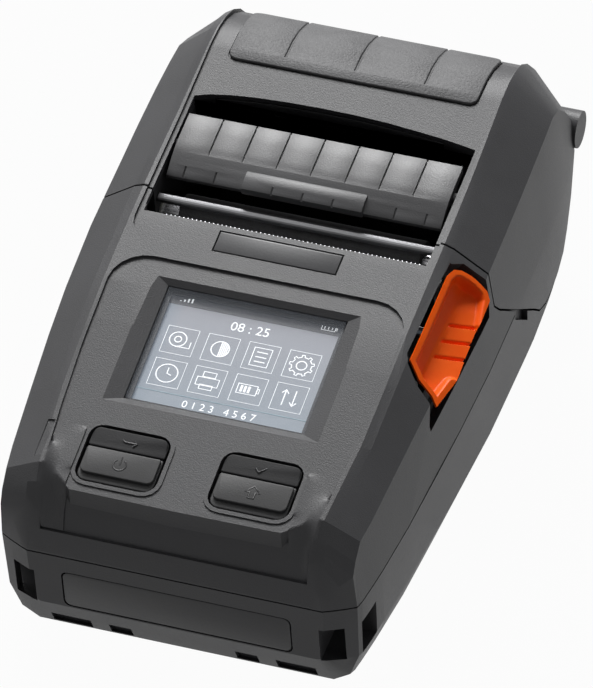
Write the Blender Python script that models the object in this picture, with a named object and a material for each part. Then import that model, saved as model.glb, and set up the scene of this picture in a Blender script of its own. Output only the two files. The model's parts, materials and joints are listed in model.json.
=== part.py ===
"""Portable label printer: casings, hinged media cover, print train, keys, display, battery."""

import math

import bmesh
import bpy
from mathutils import Matrix, Vector

# Overall size of the casing. X runs across, Y from front to rear, Z up.
LENGTH = 0.1624
WIDTH = 0.0972
HEIGHT = 0.0652
FRONT = -LENGTH / 2
REAR = LENGTH / 2
HALF = WIDTH / 2
LARGE = WIDTH + LENGTH

# Walls and clearances.
CASE_WALL = 0.0022
COVER_WALL = 0.0020
BUCKET_WALL = 0.0018
SKIRT_GAP = 0.0005
SEAM_GAP = 0.0004
FIT = 0.0003
OVERRUN = 0.0030
RAIL_WIDTH = 0.0022
END_TUCK = 0.0015

seam_height_share = 0.4954
SEAM_Z = seam_height_share * HEIGHT

# The casing's outline, as shares of its length, half width and height,
# each curve from the front face to the rear.
top_shares = ((0, .510), (.005, .598), (.013, .690), (.0216, .731), (.0333, .764),
              (.056, .804), (.095, .817), (.187, .847), (.292, .888), (.378, .917),
              (.495, .942), (.618, .959), (.698, .969), (.772, .986), (.828, .999),
              (.865, .997), (.895, .979), (.926, .942), (.951, .894), (.972, .833),
              (.988, .760), (.9975, .675), (1, .625))
crest_side_shares = ((0, .718), (.0216, .724), (.056, .737), (.1, .750), (.187, .774),
                     (.3, .784), (.55, .790), (.8, .780), (.926, .770), (1, .715))
crest_drop_shares = ((0, .004), (.0216, .006), (.056, .017), (.187, .012), (.292, .010),
                     (.495, .012), (.698, .018), (.828, .022), (.951, .026), (1, .020))
edge_side_shares = ((0, .720), (.005, .752), (.013, .798), (.0216, .858), (.056, .861),
                    (.095, .877), (.187, .901), (.292, .928), (.378, .944), (.495, .955),
                    (.7, .954), (.828, .946), (.926, .932), (.951, .932), (.972, .901),
                    (.988, .860), (1, .780))
edge_height_shares = ((0, .500), (.005, .560), (.013, .606), (.0216, .645), (.0333, .690),
                      (.056, .735), (.095, .745), (.187, .771), (.292, .797), (.495, .840),
                      (.618, .850), (.698, .858), (.8, .864), (.865, .862), (.895, .829),
                      (.926, .745), (.951, .637), (.972, .598), (1, .560))
side_shares = ((0, .722), (.005, .760), (.013, .817), (.0216, .868), (.056, .891),
               (.095, .909), (.187, .940), (.318, .969), (.495, .998), (.62, 1), (.772, .998),
               (.865, .979), (.926, .953), (.951, .942), (.972, .909), (.988, .868), (1, .790))
low_side_shares = ((0, .714), (.005, .750), (.013, .809), (.0216, .858), (.056, .883),
                   (.187, .930), (.378, .969), (.495, .984), (.7, .986), (.828, .973),
                   (.895, .951), (.951, .934), (.972, .901), (.988, .860), (1, .780))
low_height_shares = ((0, .276), (.02, .245), (.1, .245), (.292, .222), (.495, .184),
                     (.618, .169), (.698, .161), (.828, .184), (.865, .195), (.895, .238),
                     (.926, .330), (.951, .437), (.972, .475), (1, .480))
base_side_shares = ((0, .679), (.0216, .724), (.056, .747), (.187, .813), (.378, .848),
                    (.618, .874), (.698, .844), (.895, .833), (.988, .782), (1, .735))
front_base_share = .0874
base_height_shares = ((0, .245), (.005, .210), (.013, .153), (.0216, .096), (.03, front_base_share),
                      (.3, front_base_share), (.62, front_base_share), (.661, .050), (.698, 0), (.828, 0),
                      (.865, .010), (.895, .034), (.926, .083), (.951, .146), (.972, .226),
                      (.988, .318), (.9975, .430), (1, .470))
station_shares = (0, .005, .013, .0216, .0333, .056, .095, .187, .292, .378, .495, .5536,
                  .618, .661, .698, .772, .828, .865, .895, .926, .951, .972, .988, .9975, 1)
flank_side_share = 0.62
flank_height_share = 0.30
last_full_station_share = 0.988
last_wall_share = 1.35
middle_share = 0.49
rear_space_end_share = 0.975
shoulder_shares = (0.187, 0.661)


def curve_at(shares, t):
    """Smooth curve without overshoot through pairs of shares."""
    last = len(shares) - 1
    if t <= shares[0][0]:
        return shares[0][1]
    if t >= shares[last][0]:
        return shares[last][1]
    index = max(i for i in range(last) if shares[i][0] <= t)

    def slope(i):
        return (shares[i + 1][1] - shares[i][1]) / (shares[i + 1][0] - shares[i][0])

    def tangent(i):
        if i == 0:
            return slope(0)
        if i == last:
            return slope(last - 1)
        before, after = slope(i - 1), slope(i)
        if before * after <= 0:
            return 0
        return 2 * before * after / (before + after)

    start, end = shares[index], shares[index + 1]
    span = end[0] - start[0]
    u = (t - start[0]) / span
    low = (1 + 2 * u) * (1 - u) ** 2 * start[1] + u * (1 - u) ** 2 * span * tangent(index)
    high = u ** 2 * (3 - 2 * u) * end[1] + u ** 2 * (u - 1) * span * tangent(index + 1)
    return low + high


def x_at(share):
    return share * HALF


def y_at(share):
    return FRONT + share * LENGTH


def z_at(share):
    return share * HEIGHT


def half_section(t):
    """Right half of the casing's section, from the middle of the base round to the top."""
    base = curve_at(base_height_shares, t) * HEIGHT
    base_side = curve_at(base_side_shares, t) * HALF
    low_side = curve_at(low_side_shares, t) * HALF
    low = curve_at(low_height_shares, t) * HEIGHT
    edge = curve_at(edge_height_shares, t) * HEIGHT
    crest_side = curve_at(crest_side_shares, t) * HALF
    top = curve_at(top_shares, t) * HEIGHT
    flank = (base_side + (low_side - base_side) * flank_side_share, base + (low - base) * flank_height_share)
    return [(0, base), (base_side, base), flank, (low_side, low),
            (curve_at(side_shares, t) * HALF, SEAM_Z), (curve_at(edge_side_shares, t) * HALF, edge),
            (crest_side, top - curve_at(crest_drop_shares, t) * HEIGHT), (crest_side - RAIL_WIDTH, top), (0, top)]


def moved_out(path, distance):
    """An open path moved sideways, its corners mitred."""
    normals = []
    for start, end in zip(path, path[1:]):
        run = Vector((end[0] - start[0], end[1] - start[1])).normalized()
        normals.append(Vector((run[1], -run[0])))
    points = [Vector(path[0]) + normals[0] * distance]
    for point, before, after in zip(path[1:-1], normals, normals[1:]):
        points.append(Vector(point) + (before + after) * distance / (1 + before.dot(after)))
    points.append(Vector(path[-1]) + normals[-1] * distance)
    return [tuple(point) for point in points]


def section_row(y, half):
    right = [Vector((x, y, z)) for x, z in half]
    left = [Vector((-x, y, z)) for x, z in half[-2:0:-1]]
    return right + left


def form(wall=0.0, start=0, stop=1):
    """The casing's solid form, or what lies inside a wall, between two places along it."""
    rows = []
    for t in station_shares[1 if wall > 0 else 0:]:
        if start <= t <= stop and (wall < END_TUCK or t < last_full_station_share):
            y = y_at(t) + wall * (1 - 2 * t) if t > station_shares[1] or wall <= 0 else FRONT + wall
            rows.append(section_row(y, moved_out(half_section(t), -wall)))
    if wall >= END_TUCK and stop == 1:
        last = moved_out(half_section(last_full_station_share), -wall * last_wall_share)
        rows.append(section_row(REAR - wall, last))
    return loft(rows)


# Building helpers.
WELD = 0.00001
outline_scale = 1000
axis_turns = {"X": Matrix(((0, 0, 1), (1, 0, 0), (0, 1, 0))).to_4x4(),
              "Y": Matrix(((0, 1, 0), (0, 0, 1), (1, 0, 0))).to_4x4(), "Z": Matrix.Identity(4)}


def loft(rows):
    """A closed skin through rows of points, with a flat face at each end."""
    mesh = bmesh.new()
    rings = [[mesh.verts.new(point) for point in row] for row in rows]
    for ring, following in zip(rings, rings[1:]):
        for i in range(len(ring)):
            j = (i + 1) % len(ring)
            mesh.faces.new((ring[i], ring[j], following[j], following[i]))
    mesh.faces.new(rings[0][::-1])
    mesh.faces.new(rings[-1])
    bmesh.ops.recalc_face_normals(mesh, faces=mesh.faces[:])
    return mesh


def block(low, high, radius=0.0, along=None, segments=3):
    """A box between two corners, all its edges or those along one axis rounded."""
    mesh = bmesh.new()
    size = [b - a for a, b in zip(low, high)]
    middle = [(a + b) / 2 for a, b in zip(low, high)]
    bmesh.ops.create_cube(mesh, size=1, matrix=Matrix.Translation(middle) @ Matrix.Diagonal((*size, 1)))
    if radius > 0:
        round_edges(mesh, radius, along, segments)
    return mesh


def round_edges(mesh, radius, along=None, segments=3):
    chosen = []
    for edge in mesh.edges:
        run = (edge.verts[1].co - edge.verts[0].co).normalized()
        if along is None or abs(run["XYZ".index(along)]) > math.cos(math.radians(5)):
            chosen.append(edge)
    bmesh.ops.bevel(mesh, geom=chosen, offset=radius, offset_type="OFFSET", segments=segments,
                    profile=0.5, affect="EDGES", clamp_overlap=True)


def rod(axis, start, end, centre, radius, sides=24, tip=None):
    """A round bar along an axis; its centre is given by the other two coordinates."""
    mesh = bmesh.new()
    matrix = axis_turns[axis] @ Matrix.Translation((*centre, (start + end) / 2))
    bmesh.ops.create_cone(mesh, cap_ends=True, segments=sides, radius1=radius,
                          radius2=radius if tip is None else tip, depth=abs(end - start), matrix=matrix)
    return mesh


def slab(axis, outline, start, end):
    """A flat filled outline, drawn out along an axis."""
    flat = bpy.data.curves.new("outline", "CURVE")
    flat.dimensions = "2D"
    flat.fill_mode = "BOTH"
    flat.extrude = abs(end - start) / 2 * outline_scale
    spline = flat.splines.new("POLY")
    spline.points.add(len(outline) - 1)
    for point, (a, b) in zip(spline.points, outline):
        point.co = (a * outline_scale, b * outline_scale, 0, 1)
    spline.use_cyclic_u = True
    holder = bpy.data.objects.new("outline", flat)
    bpy.context.scene.collection.objects.link(holder)
    drawn = bpy.data.meshes.new_from_object(holder.evaluated_get(bpy.context.evaluated_depsgraph_get()))
    bpy.data.objects.remove(holder)
    bpy.data.curves.remove(flat)
    mesh = bmesh.new()
    mesh.from_mesh(drawn)
    bpy.data.meshes.remove(drawn)
    bmesh.ops.scale(mesh, verts=mesh.verts[:], vec=Vector((1, 1, 1)) / outline_scale)
    bmesh.ops.remove_doubles(mesh, verts=mesh.verts[:], dist=WELD)
    place = axis_turns[axis] @ Matrix.Translation((0, 0, (start + end) / 2))
    bmesh.ops.transform(mesh, matrix=place, verts=mesh.verts[:])
    bmesh.ops.recalc_face_normals(mesh, faces=mesh.faces[:])
    return mesh


def turned(mesh, pivot, angle, axis):
    """Turns a mesh about an axis through a pivot."""
    bmesh.ops.rotate(mesh, verts=mesh.verts[:], cent=pivot, matrix=Matrix.Rotation(angle, 3, axis))
    return mesh


def sided(side, near, far, low, high, radius=0.0, along=None):
    """A block between two distances from the middle, to the right or to the left."""
    ends = sorted((side * near, side * far))
    return block((ends[0], *low), (ends[1], *high), radius, along)


def whole_outline(half):
    """A half outline that starts and ends on the middle line, with its mirror image."""
    return list(half) + [(-x, y) for x, y in reversed(half[1:-1])]


root_depth_share, crown_height_share = 1.15, 0.80
tooth_part_shares = (-0.27, -0.12, 0.12, 0.27)


def gear_outline(centre, teeth, module, turn):
    """A gear's edge, four points to a tooth."""
    pitch = teeth * module / 2
    radii = (pitch - module * root_depth_share, pitch + module * crown_height_share)
    points = []
    for tooth in range(teeth):
        for share, radius in zip(tooth_part_shares, (radii[0], radii[1], radii[1], radii[0])):
            angle = turn + (tooth + share) * 2 * math.pi / teeth
            points.append((centre[0] + radius * math.cos(angle), centre[1] + radius * math.sin(angle)))
    return points


def meshing_turn(centre, teeth, turn, other_centre, other_teeth):
    """The turn at which a second gear's gap faces the first gear's tooth."""
    direction = math.atan2(other_centre[1] - centre[1], other_centre[0] - centre[0])
    phase = (direction - turn) * teeth / (2 * math.pi)
    return direction + math.pi - (1 / 2 - phase) * 2 * math.pi / other_teeth


for item in list(bpy.data.objects):
    bpy.data.objects.remove(item, do_unlink=True)
for old in list(bpy.data.collections):
    bpy.data.collections.remove(old)

printer = bpy.data.collections.new("label_printer")
cutters = bpy.data.collections.new("cutters")


def finish(name, colour, roughness=0.55, metallic=0.0):
    """A material for one kind of surface."""
    material = bpy.data.materials.new(name)
    material.use_nodes = True
    shader = material.node_tree.nodes["Principled BSDF"]
    shader.inputs["Base Color"].default_value = (*colour, 1)
    shader.inputs["Roughness"].default_value = roughness
    shader.inputs["Metallic"].default_value = metallic
    return material


looks = {
    "case": ((0.055, 0.055, 0.058), 0.62), "cover": ((0.075, 0.075, 0.078), 0.62),
    "black": ((0.018, 0.018, 0.020), 0.5), "grey": ((0.16, 0.16, 0.165), 0.6),
    "orange": ((0.95, 0.17, 0.02), 0.42), "rubber": ((0.035, 0.035, 0.037), 0.85),
    "keys": ((0.06, 0.06, 0.063), 0.6), "steel": ((0.55, 0.56, 0.58), 0.3, 1.0),
    "aluminium": ((0.62, 0.63, 0.65), 0.4, 1.0), "brass": ((0.70, 0.52, 0.22), 0.35, 1.0),
    "acetal": ((0.75, 0.74, 0.70), 0.45), "board": ((0.02, 0.13, 0.06), 0.5),
    "screen": ((0.45, 0.52, 0.60), 0.15), "lens": ((0.6, 0.65, 0.7), 0.05),
    "light": ((0.5, 0.5, 0.5), 0.3),
}
SMOOTH = math.radians(32)


def part(name, mesh, look, at=(0, 0, 0), smooth=False):
    """One named piece, with its own material, its origin put at a point such as its joint's axis."""
    data = bpy.data.meshes.new(name)
    bmesh.ops.translate(mesh, verts=mesh.verts[:], vec=-Vector(at))
    mesh.to_mesh(data)
    mesh.free()
    data.materials.append(finish(f"{name}_{look}", *looks[look]))
    if smooth:
        data.shade_smooth()
        data.set_sharp_from_angle(angle=SMOOTH)
    piece = bpy.data.objects.new(name, data)
    piece.location = at
    printer.objects.link(piece)
    return piece


def guide(name, mesh):
    """A helper shape that cuts or joins a piece and isn't part of the printer."""
    data = bpy.data.meshes.new(name)
    mesh.to_mesh(data)
    mesh.free()
    helper = bpy.data.objects.new(name, data)
    helper.hide_render = True
    helper.display_type = "WIRE"
    cutters.objects.link(helper)
    return helper


def change(piece, operation, meshes):
    for mesh in meshes:
        helper = mesh
        if not isinstance(mesh, bpy.types.Object):
            helper = guide(f"{piece.name}_{operation.lower()}_{len(piece.modifiers)}", mesh)
        step = piece.modifiers.new(f"{operation.lower()}_{len(piece.modifiers)}", "BOOLEAN")
        step.operation = operation
        step.solver = "EXACT"
        step.object = helper
    return piece


def cut(piece, *meshes):
    return change(piece, "DIFFERENCE", meshes)


def join(piece, *meshes):
    return change(piece, "UNION", meshes)


def keep(piece, *meshes):
    return change(piece, "INTERSECT", meshes)


def limits(low=(None, None, None), high=(None, None, None)):
    """A large block, bounded only where a limit is given."""
    return block([-LARGE if a is None else a for a in low], [LARGE if b is None else b for b in high])


# The media cover's outline from the side, down its seam and round to the hinge.
HINGE = (y_at(0.9723), z_at(0.5521))
HINGE_RADIUS = 0.0045
HINGE_HALF = x_at(0.9527)
PIN_RADIUS = 0.0012
PIN_HALF = x_at(0.9362)
KNUCKLE_NEAR, KNUCKLE_FAR = x_at(0.6173), x_at(0.7407)
KNUCKLE_ARM = 0.0104
HUB_GAP = 0.0005
SHAFT_GAP = 0.00015
seam_outline_shares = ((.5517, 1.05), (.5517, .6902), (.5671, .6365), (.6995, .3144), (.7291, .2362),
                       (.7599, .1963), (.7906, .1840), (.8307, .1810), (.8670, .1933), (.9039, .2515),
                       (.9329, .3466), (.9514, .4356), (.9631, .5184), (.9750, .5430), (1.02, .5430))
upper_rear_share = 0.6600
cover_seam_share = seam_outline_shares[0][0]
bay_rear_share = 0.7328
mouth_share = 0.5210
BAY_HALF = x_at(0.7016)


def cover_side(grow=0.0):
    """The space behind the cover's seam, widened by a gap where asked."""
    path = [(y_at(y), z * HEIGHT) for y, z in seam_outline_shares]
    path = moved_out(path, grow)
    return slab("X", path + [(path[-1][0], path[0][1])], -LARGE, LARGE)


# Lower case: battery bay, strap openings at the front corners, port recess, roll bucket, hinge.
bucket_front_share = 0.6213
bucket_rear_share = 0.9261
BUCKET_HALF = x_at(0.8510)
BUCKET_TOP = z_at(0.4847)
BARREL_GAP = 0.0007
BUCKET_REAR_TOP = HINGE[1] - HINGE_RADIUS - BARREL_GAP
BUCKET_FRONT_WALL = 0.0018
STRAP_SIDE = x_at(0.8642)
STRAP_POST = 0.0027
STRAP_POST_DEPTH = 0.0050
STRAP_OPENING = 0.0055
STRAP_DEPTH = 0.0068
STRAP_FLOOR = z_at(0.2393)
STRAP_HEIGHT = 0.0104
STRAP_WALL = 0.0016
BATTERY_HALF = x_at(0.6790)
BATTERY_INSET = 0.0144
BATTERY_FRONT = FRONT + BATTERY_INSET
BATTERY_REAR = y_at(0.6182)
BATTERY_TOP = z_at(0.3144)
BATTERY_GAP = 0.0004
BAY_WALL = 0.0015
BAY_WALL_FOOT = z_at(0.1043)
PORT_HALF = x_at(0.5556)
PORT_LOW, PORT_HIGH = z_at(0.2546), z_at(0.4172)
PORT_DEPTH = 0.0012
PORT_LIP = 0.0022
PORT_CORNER = 0.0016
SLOT_LOW, SLOT_HIGH = z_at(0.1043), z_at(0.1610)
SLOT_DEPTH = 0.0043
SLOT_REAR = FRONT + SLOT_DEPTH
slot_edge_shares = ((.455, .650), (.255, .365))
NOTCH_WIDTH = 0.0036
NOTCH_RUN = 0.0092
NOTCH_INSET = 0.0018
notch_share, notch_height_share = 0.6133, 0.5250
CONTACT_HALF = 0.0080
CONTACT_HEIGHT = 0.0043
CONTACT_LOW = BATTERY_TOP + BATTERY_GAP
CONTACT_HIGH = CONTACT_LOW + CONTACT_HEIGHT
contact_shares = (0.545, 0.594)
LATCH_HALF, LATCH_FLANGE_HALF = 0.0060, 0.0076
LATCH_INSET, LATCH_DEPTH = 0.0079, 0.0036
LATCH_FRONT = FRONT + LATCH_INSET
LATCH_REAR = LATCH_FRONT + LATCH_DEPTH
FLOOR_Z = z_at(front_base_share)
LATCH_FLANGE = 0.0012
LATCH_LOW = FLOOR_Z + FIT
LATCH_LIP = FLOOR_Z + CASE_WALL + SEAM_GAP
LATCH_TOP = LATCH_LIP + LATCH_FLANGE
LATCH_TRAVEL = 0.0015
screw_places = ((.768, .187), (.786, .464))
SCREW_HEAD, SCREW_BORE, SCREW_SHANK = 0.0019, 0.0022, 0.0011
SCREW_HEAD_HEIGHT, SCREW_LENGTH = 0.0014, 0.0048
SCREW_HEAD_LOW = FLOOR_Z + FIT
SCREW_HEAD_HIGH = SCREW_HEAD_LOW + SCREW_HEAD_HEIGHT
SCREW_SEAT = SCREW_HEAD_HIGH + FIT
SCREW_TIP = SCREW_SEAT + SCREW_LENGTH
BOSS_RADIUS, BOSS_END = 0.0030, 0.0010
BOSS_TOP = SCREW_TIP + BOSS_END


def strap_void(side):
    """The strap's way in at the front and out at the side, round a post."""
    inner = STRAP_SIDE - STRAP_POST - STRAP_OPENING
    low, high = STRAP_FLOOR, STRAP_FLOOR + STRAP_HEIGHT
    rear = FRONT + STRAP_POST_DEPTH + STRAP_DEPTH
    ahead = sided(side, inner, inner + STRAP_OPENING, (FRONT - OVERRUN, low), (rear, high))
    beside = sided(side, inner, HALF + OVERRUN, (FRONT + STRAP_POST_DEPTH, low), (rear, high))
    return ahead, beside


def screw_spots():
    return [(side * x * HALF, y_at(y)) for x, y in screw_places for side in (-1, 1)]


def build_lower_case():
    case = keep(part("lower_case", form(), "case"), limits(high=(None, None, SEAM_Z - SEAM_GAP / 2)))
    cut(case, limits((None, y_at(bucket_rear_share), BUCKET_REAR_TOP)))
    cut(case, cover_side(SKIRT_GAP))
    bucket = guide("bucket", form(COVER_WALL + SKIRT_GAP, middle_share))
    keep(bucket, limits((-BUCKET_HALF, y_at(bucket_front_share), None), (BUCKET_HALF, None, BUCKET_TOP)))
    cut(bucket, limits((None, y_at(bucket_rear_share), BUCKET_REAR_TOP - WELD)))
    join(case, bucket)
    front_space = guide("front_space", form(CASE_WALL))
    keep(front_space, limits(high=(None, y_at(bucket_front_share) + SEAM_GAP, None)))
    rear_space = guide("rear_space", form(COVER_WALL + SKIRT_GAP + BUCKET_WALL, middle_share, rear_space_end_share))
    inner = BUCKET_HALF - BUCKET_WALL
    keep(rear_space, limits((-inner, y_at(bucket_front_share) + BUCKET_FRONT_WALL, None), (inner, None, None)))
    cut(case, front_space, rear_space)
    # Battery bay, open below, with a gap in its ceiling for the contacts.
    gap = BATTERY_GAP
    skin = gap + BAY_WALL
    join(case, block((-BATTERY_HALF - skin, BATTERY_FRONT - skin, BAY_WALL_FOOT),
                     (BATTERY_HALF + skin, BATTERY_REAR + skin, BATTERY_TOP + skin)))
    cut(case, block((-BATTERY_HALF - gap, BATTERY_FRONT - gap, -OVERRUN),
                    (BATTERY_HALF + gap, BATTERY_REAR + gap, BATTERY_TOP + gap)))
    cut(case, block((-CONTACT_HALF - FIT, y_at(contact_shares[0]) - FIT, BATTERY_TOP),
                    (CONTACT_HALF + FIT, y_at(contact_shares[1]) + FIT, CONTACT_HIGH)))
    for side in (-1, 1):
        inner = STRAP_SIDE - STRAP_POST - STRAP_OPENING - STRAP_WALL
        rear = FRONT + STRAP_POST_DEPTH + STRAP_DEPTH + STRAP_WALL
        lining = guide(f"strap_lining_{side}", sided(side, inner, HALF, (FRONT, STRAP_FLOOR - STRAP_WALL),
                                                    (rear, STRAP_FLOOR + STRAP_HEIGHT + STRAP_WALL)))
        keep(lining, form(CASE_WALL / 2))
        join(case, lining)
        cut(case, *strap_void(side))
    # Recess and opening for the port cover.
    cut(case, block((-PORT_HALF - FIT, FRONT - OVERRUN, PORT_LOW - FIT),
                    (PORT_HALF + FIT, FRONT + PORT_DEPTH + FIT, PORT_HIGH + FIT), PORT_CORNER, "Y"))
    cut(case, block((-PORT_HALF + PORT_LIP, FRONT - OVERRUN, PORT_LOW + PORT_LIP),
                    (PORT_HALF - PORT_LIP, FRONT + 2 * CASE_WALL, PORT_HIGH - PORT_LIP / 2)))
    for near, far in slot_edge_shares:
        for side in (-1, 1):
            cut(case, sided(side, far * HALF, near * HALF, (FRONT - OVERRUN, SLOT_LOW), (SLOT_REAR, SLOT_HIGH)))
    # Opening for the battery's catch in the floor.
    cut(case, block((-LATCH_HALF - FIT, LATCH_FRONT - LATCH_TRAVEL - FIT, -OVERRUN),
                    (LATCH_HALF + FIT, LATCH_REAR + FIT, LATCH_LIP)))
    for x, y in screw_spots():
        join(case, rod("Z", SCREW_SEAT, BOSS_TOP, (x, y), BOSS_RADIUS, 16))
        cut(case, rod("Z", -OVERRUN, SCREW_SEAT, (x, y), SCREW_BORE, 16))
        cut(case, rod("Z", -OVERRUN, BOSS_TOP + OVERRUN, (x, y), SCREW_SHANK + SHAFT_GAP, 12))
    cut(case, rod("Z", SPINDLE_FOOT - FIT, RACK_LOW, RACK_CENTRE, SPINDLE_RADIUS + SHAFT_GAP, 16))
    # Knuckles that carry the hinge pin.
    for side in (-1, 1):
        ends = sorted((side * KNUCKLE_NEAR, side * KNUCKLE_FAR))
        radius = HINGE_RADIUS - FIT
        join(case, sided(side, KNUCKLE_NEAR, KNUCKLE_FAR, (HINGE[0] - radius, HINGE[1] - KNUCKLE_ARM),
                         (HINGE[0] + radius / 4, HINGE[1])))
        join(case, rod("X", *ends, HINGE, radius, 20))
    cut(case, rod("X", -PIN_HALF, PIN_HALF, HINGE, PIN_RADIUS + SHAFT_GAP, 16))
    # Slanted notch below the cover's skirt on each side.
    y, z = y_at(notch_share), notch_height_share * HEIGHT
    notch = [(y, z), (y, z - NOTCH_WIDTH), (y + NOTCH_RUN, z - NOTCH_WIDTH - NOTCH_RUN), (y + NOTCH_RUN, z - NOTCH_RUN)]
    for side in (-1, 1):
        cut(case, slab("X", notch, *sorted((side * (HALF - NOTCH_INSET), side * LARGE))))
    return case


# Upper case: recessed panel with display window and key wells, tear mouth, lever pocket.
RECESS_DEPTH = 0.0011
RECESS_FOOT_Z = z_at(0.6043)
RECESS_CORNER = 0.0085
PANEL_SINK = 0.0006
recess_rear_share = 0.4290
recess_side_shares = ((.0, .648), (.065, .673), (.16, .700), (.26, .717), (.35, .722))
recess_half_share = 0.724
panel_rise_share = 0.3723
PANEL_SLOPE = math.atan(panel_rise_share * HEIGHT / LENGTH)
PANEL_AXIS = (y_at(0.2919), z_at(0.8788))
PANEL_THICK = 0.0030
LIP_THICK = 0.0056
panel_level_share = 0.31
panel_outline_shares = ((0, .436), (.741, .436), (.741, .138), (.648, .083), (.597, .046), (.514, .0262), (0, .025))
DEPRESSION_DEPTH = 0.0007
DEPRESSION_HALF = x_at(0.7243)
DEPRESSION_CORNER = 0.0060
DEPRESSION_FOOT_Z = z_at(0.7362)
depression_front_share = 0.4570
window_shares, window_bezel_shares, module_shares = (.8848, .1986), (1.0535, .2254), (1.0288, .2463)
WINDOW = (window_shares[0] * HALF, window_shares[1] * LENGTH)
WINDOW_BEZEL = (window_bezel_shares[0] * HALF, window_bezel_shares[1] * LENGTH)
BEZEL_DEPTH = 0.0013
LENS_THICK = 0.0010
LENS_LEDGE = 0.0012
MODULE_THICK = 0.0030
MODULE = (module_shares[0] * HALF, module_shares[1] * LENGTH, MODULE_THICK)
MODULE_TOP = -0.0033
FRAME_RIM = 0.0024
FRAME_DEPTH = 0.0055
well_shares = (0.3992, 0.0967)
well_place_shares = (0.3230, -0.2032)
WELL = (well_shares[0] * HALF, well_shares[1] * LENGTH)
WELL_PLACE = (well_place_shares[0] * HALF, well_place_shares[1] * LENGTH)
WELL_CORNER = 0.0033
WELL_RIM = 0.0010
WELL_RIM_HEIGHT = 0.0003
LIGHT_HALF_WIDTH = 0.0006
LIGHT_SIDE = x_at(0.7140)
light_shares = (0.070, 0.127)
LIGHT_DEPTH = 0.0028
BADGE = (0.0293, 0.0008)
badge_shares = (0.4631, 0.4982)


def on_panel(mesh):
    """Lays a mesh made about the level origin onto the sloping panel."""
    turned(mesh, (0, 0, 0), PANEL_SLOPE, "X")
    bmesh.ops.translate(mesh, verts=mesh.verts[:], vec=(0, *PANEL_AXIS))
    return mesh


def panel_block(centre, size, low, high, radius=0.0, segments=3):
    """A block square on the panel, between two levels from the panel's surface."""
    near = [c - s / 2 for c, s in zip(centre, size)]
    far = [c + s / 2 for c, s in zip(centre, size)]
    return on_panel(block((*near, low), (*far, high), radius, "Z", segments))


def mat_size():
    return 2 * WELL_PLACE[0] + WELL[0] + MAT_RIM, WELL[1] + MAT_RIM


def bezel_cutter():
    rows = []
    for level in (-BEZEL_DEPTH, OVERRUN):
        grow = (level + BEZEL_DEPTH) / BEZEL_DEPTH
        x, y = [(a + (b - a) * grow) / 2 for a, b in zip(WINDOW, WINDOW_BEZEL)]
        rows.append([Vector((x, y, level)), Vector((-x, y, level)), Vector((-x, -y, level)), Vector((x, -y, level))])
    return on_panel(loft(rows))


def recess_cutter():
    """The space above the recessed panel: its plan outline, down to a wall inside the form."""
    rear, side = y_at(recess_rear_share), recess_half_share * HALF
    half = [(0, rear)]
    for i in range(6):
        angle = math.pi / 2 * (1 - i / 5)
        half.append((side + RECESS_CORNER * (math.cos(angle) - 1), rear + RECESS_CORNER * (math.sin(angle) - 1)))
    half += [(share * HALF, y_at(t)) for t, share in reversed(recess_side_shares)]
    half += [(half[-1][0], FRONT - OVERRUN), (0, FRONT - OVERRUN)]
    cutter = guide("panel_recess", slab("Z", whole_outline(half), RECESS_FOOT_Z, HEIGHT + OVERRUN))
    return cut(cutter, form(RECESS_DEPTH))


def depression_cutter():
    """A shallow space over the top, from the badge to the rear."""
    front, corner = y_at(depression_front_share), DEPRESSION_CORNER
    half = [(0, front)]
    for i in range(5):
        angle = math.pi / 2 * i / 4
        half.append((DEPRESSION_HALF + corner * (math.sin(angle) - 1), front + corner * (1 - math.cos(angle))))
    half += [(DEPRESSION_HALF, REAR + OVERRUN), (0, REAR + OVERRUN)]
    cutter = guide("top_depression", slab("Z", whole_outline(half), DEPRESSION_FOOT_Z, HEIGHT + OVERRUN))
    return cut(cutter, form(DEPRESSION_DEPTH))


# Release lever on the right shoulder, its outline drawn on the shoulder's slope as (y, across).
SHOULDER_SLOPE = math.radians(39)
SHOULDER_NEAR, SHOULDER_FAR = -0.0212, -0.0032
lever_outline_shares = ((-.1539, -.0667), (-.1724, .0177), (-.1810, .1041), (-.1915, .1494), (-.1422, .1782),
                        (-.0936, .2008), (-.0289, .1967), (.0148, .1597), (.0252, .1288), (.0296, .0671),
                        (.0302, .0259), (.0271, -.0296), (.0197, -.0667), (.0043, -.0831))
lever_slot_shares = ((-.1466, -.0934), (-.1613, -.0687), (-.1823, .0177), (-.1933, .1041), (-.2081, .1864),
                     (-.2069, .2111), (.0277, .2420), (.0388, .1700), (.0388, -.0358), (.0234, -.0955),
                     (-.0111, -.1037))
lever_scoop_shares = ((-.1447, -.0235), (-.1613, .0383), (-.1675, .1041), (-.1613, .1288), (-.1385, .1370),
                      (-.0936, .1576), (-.0320, .1535), (.0074, .1247), (.0160, .0630), (.0135, -.0070),
                      (.0025, -.0358))
LEVER_SINK = 0.0001
LEVER_THICK = 0.0022
SCOOP_DEPTH = 0.0010
POCKET_DEPTH = 0.0042
POCKET_FLOOR = 0.0012
POCKET_RIM = 0.0012
LEVER_PIVOT = (y_at(0.5105), z_at(0.7822))
HUB_NEAR, HUB_FAR = x_at(0.8025), x_at(0.8436)
HUB_RADIUS = 0.0021
HUB_NECK = 0.0016
BRACKET = 0.0014
BRACKET_HALF = 0.0020
BRACKET_LOW = z_at(0.7439)
BRACKET_INNER_HIGH, BRACKET_OUTER_HIGH = z_at(0.8528), z_at(0.8160)
LEVER_PIN_RADIUS = 0.0009


def shoulder_outline(shares):
    """An outline on the shoulder's slope, as points across and along."""
    return [Vector((HALF + across * HALF, y * LENGTH)) for y, across in shares]


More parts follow.
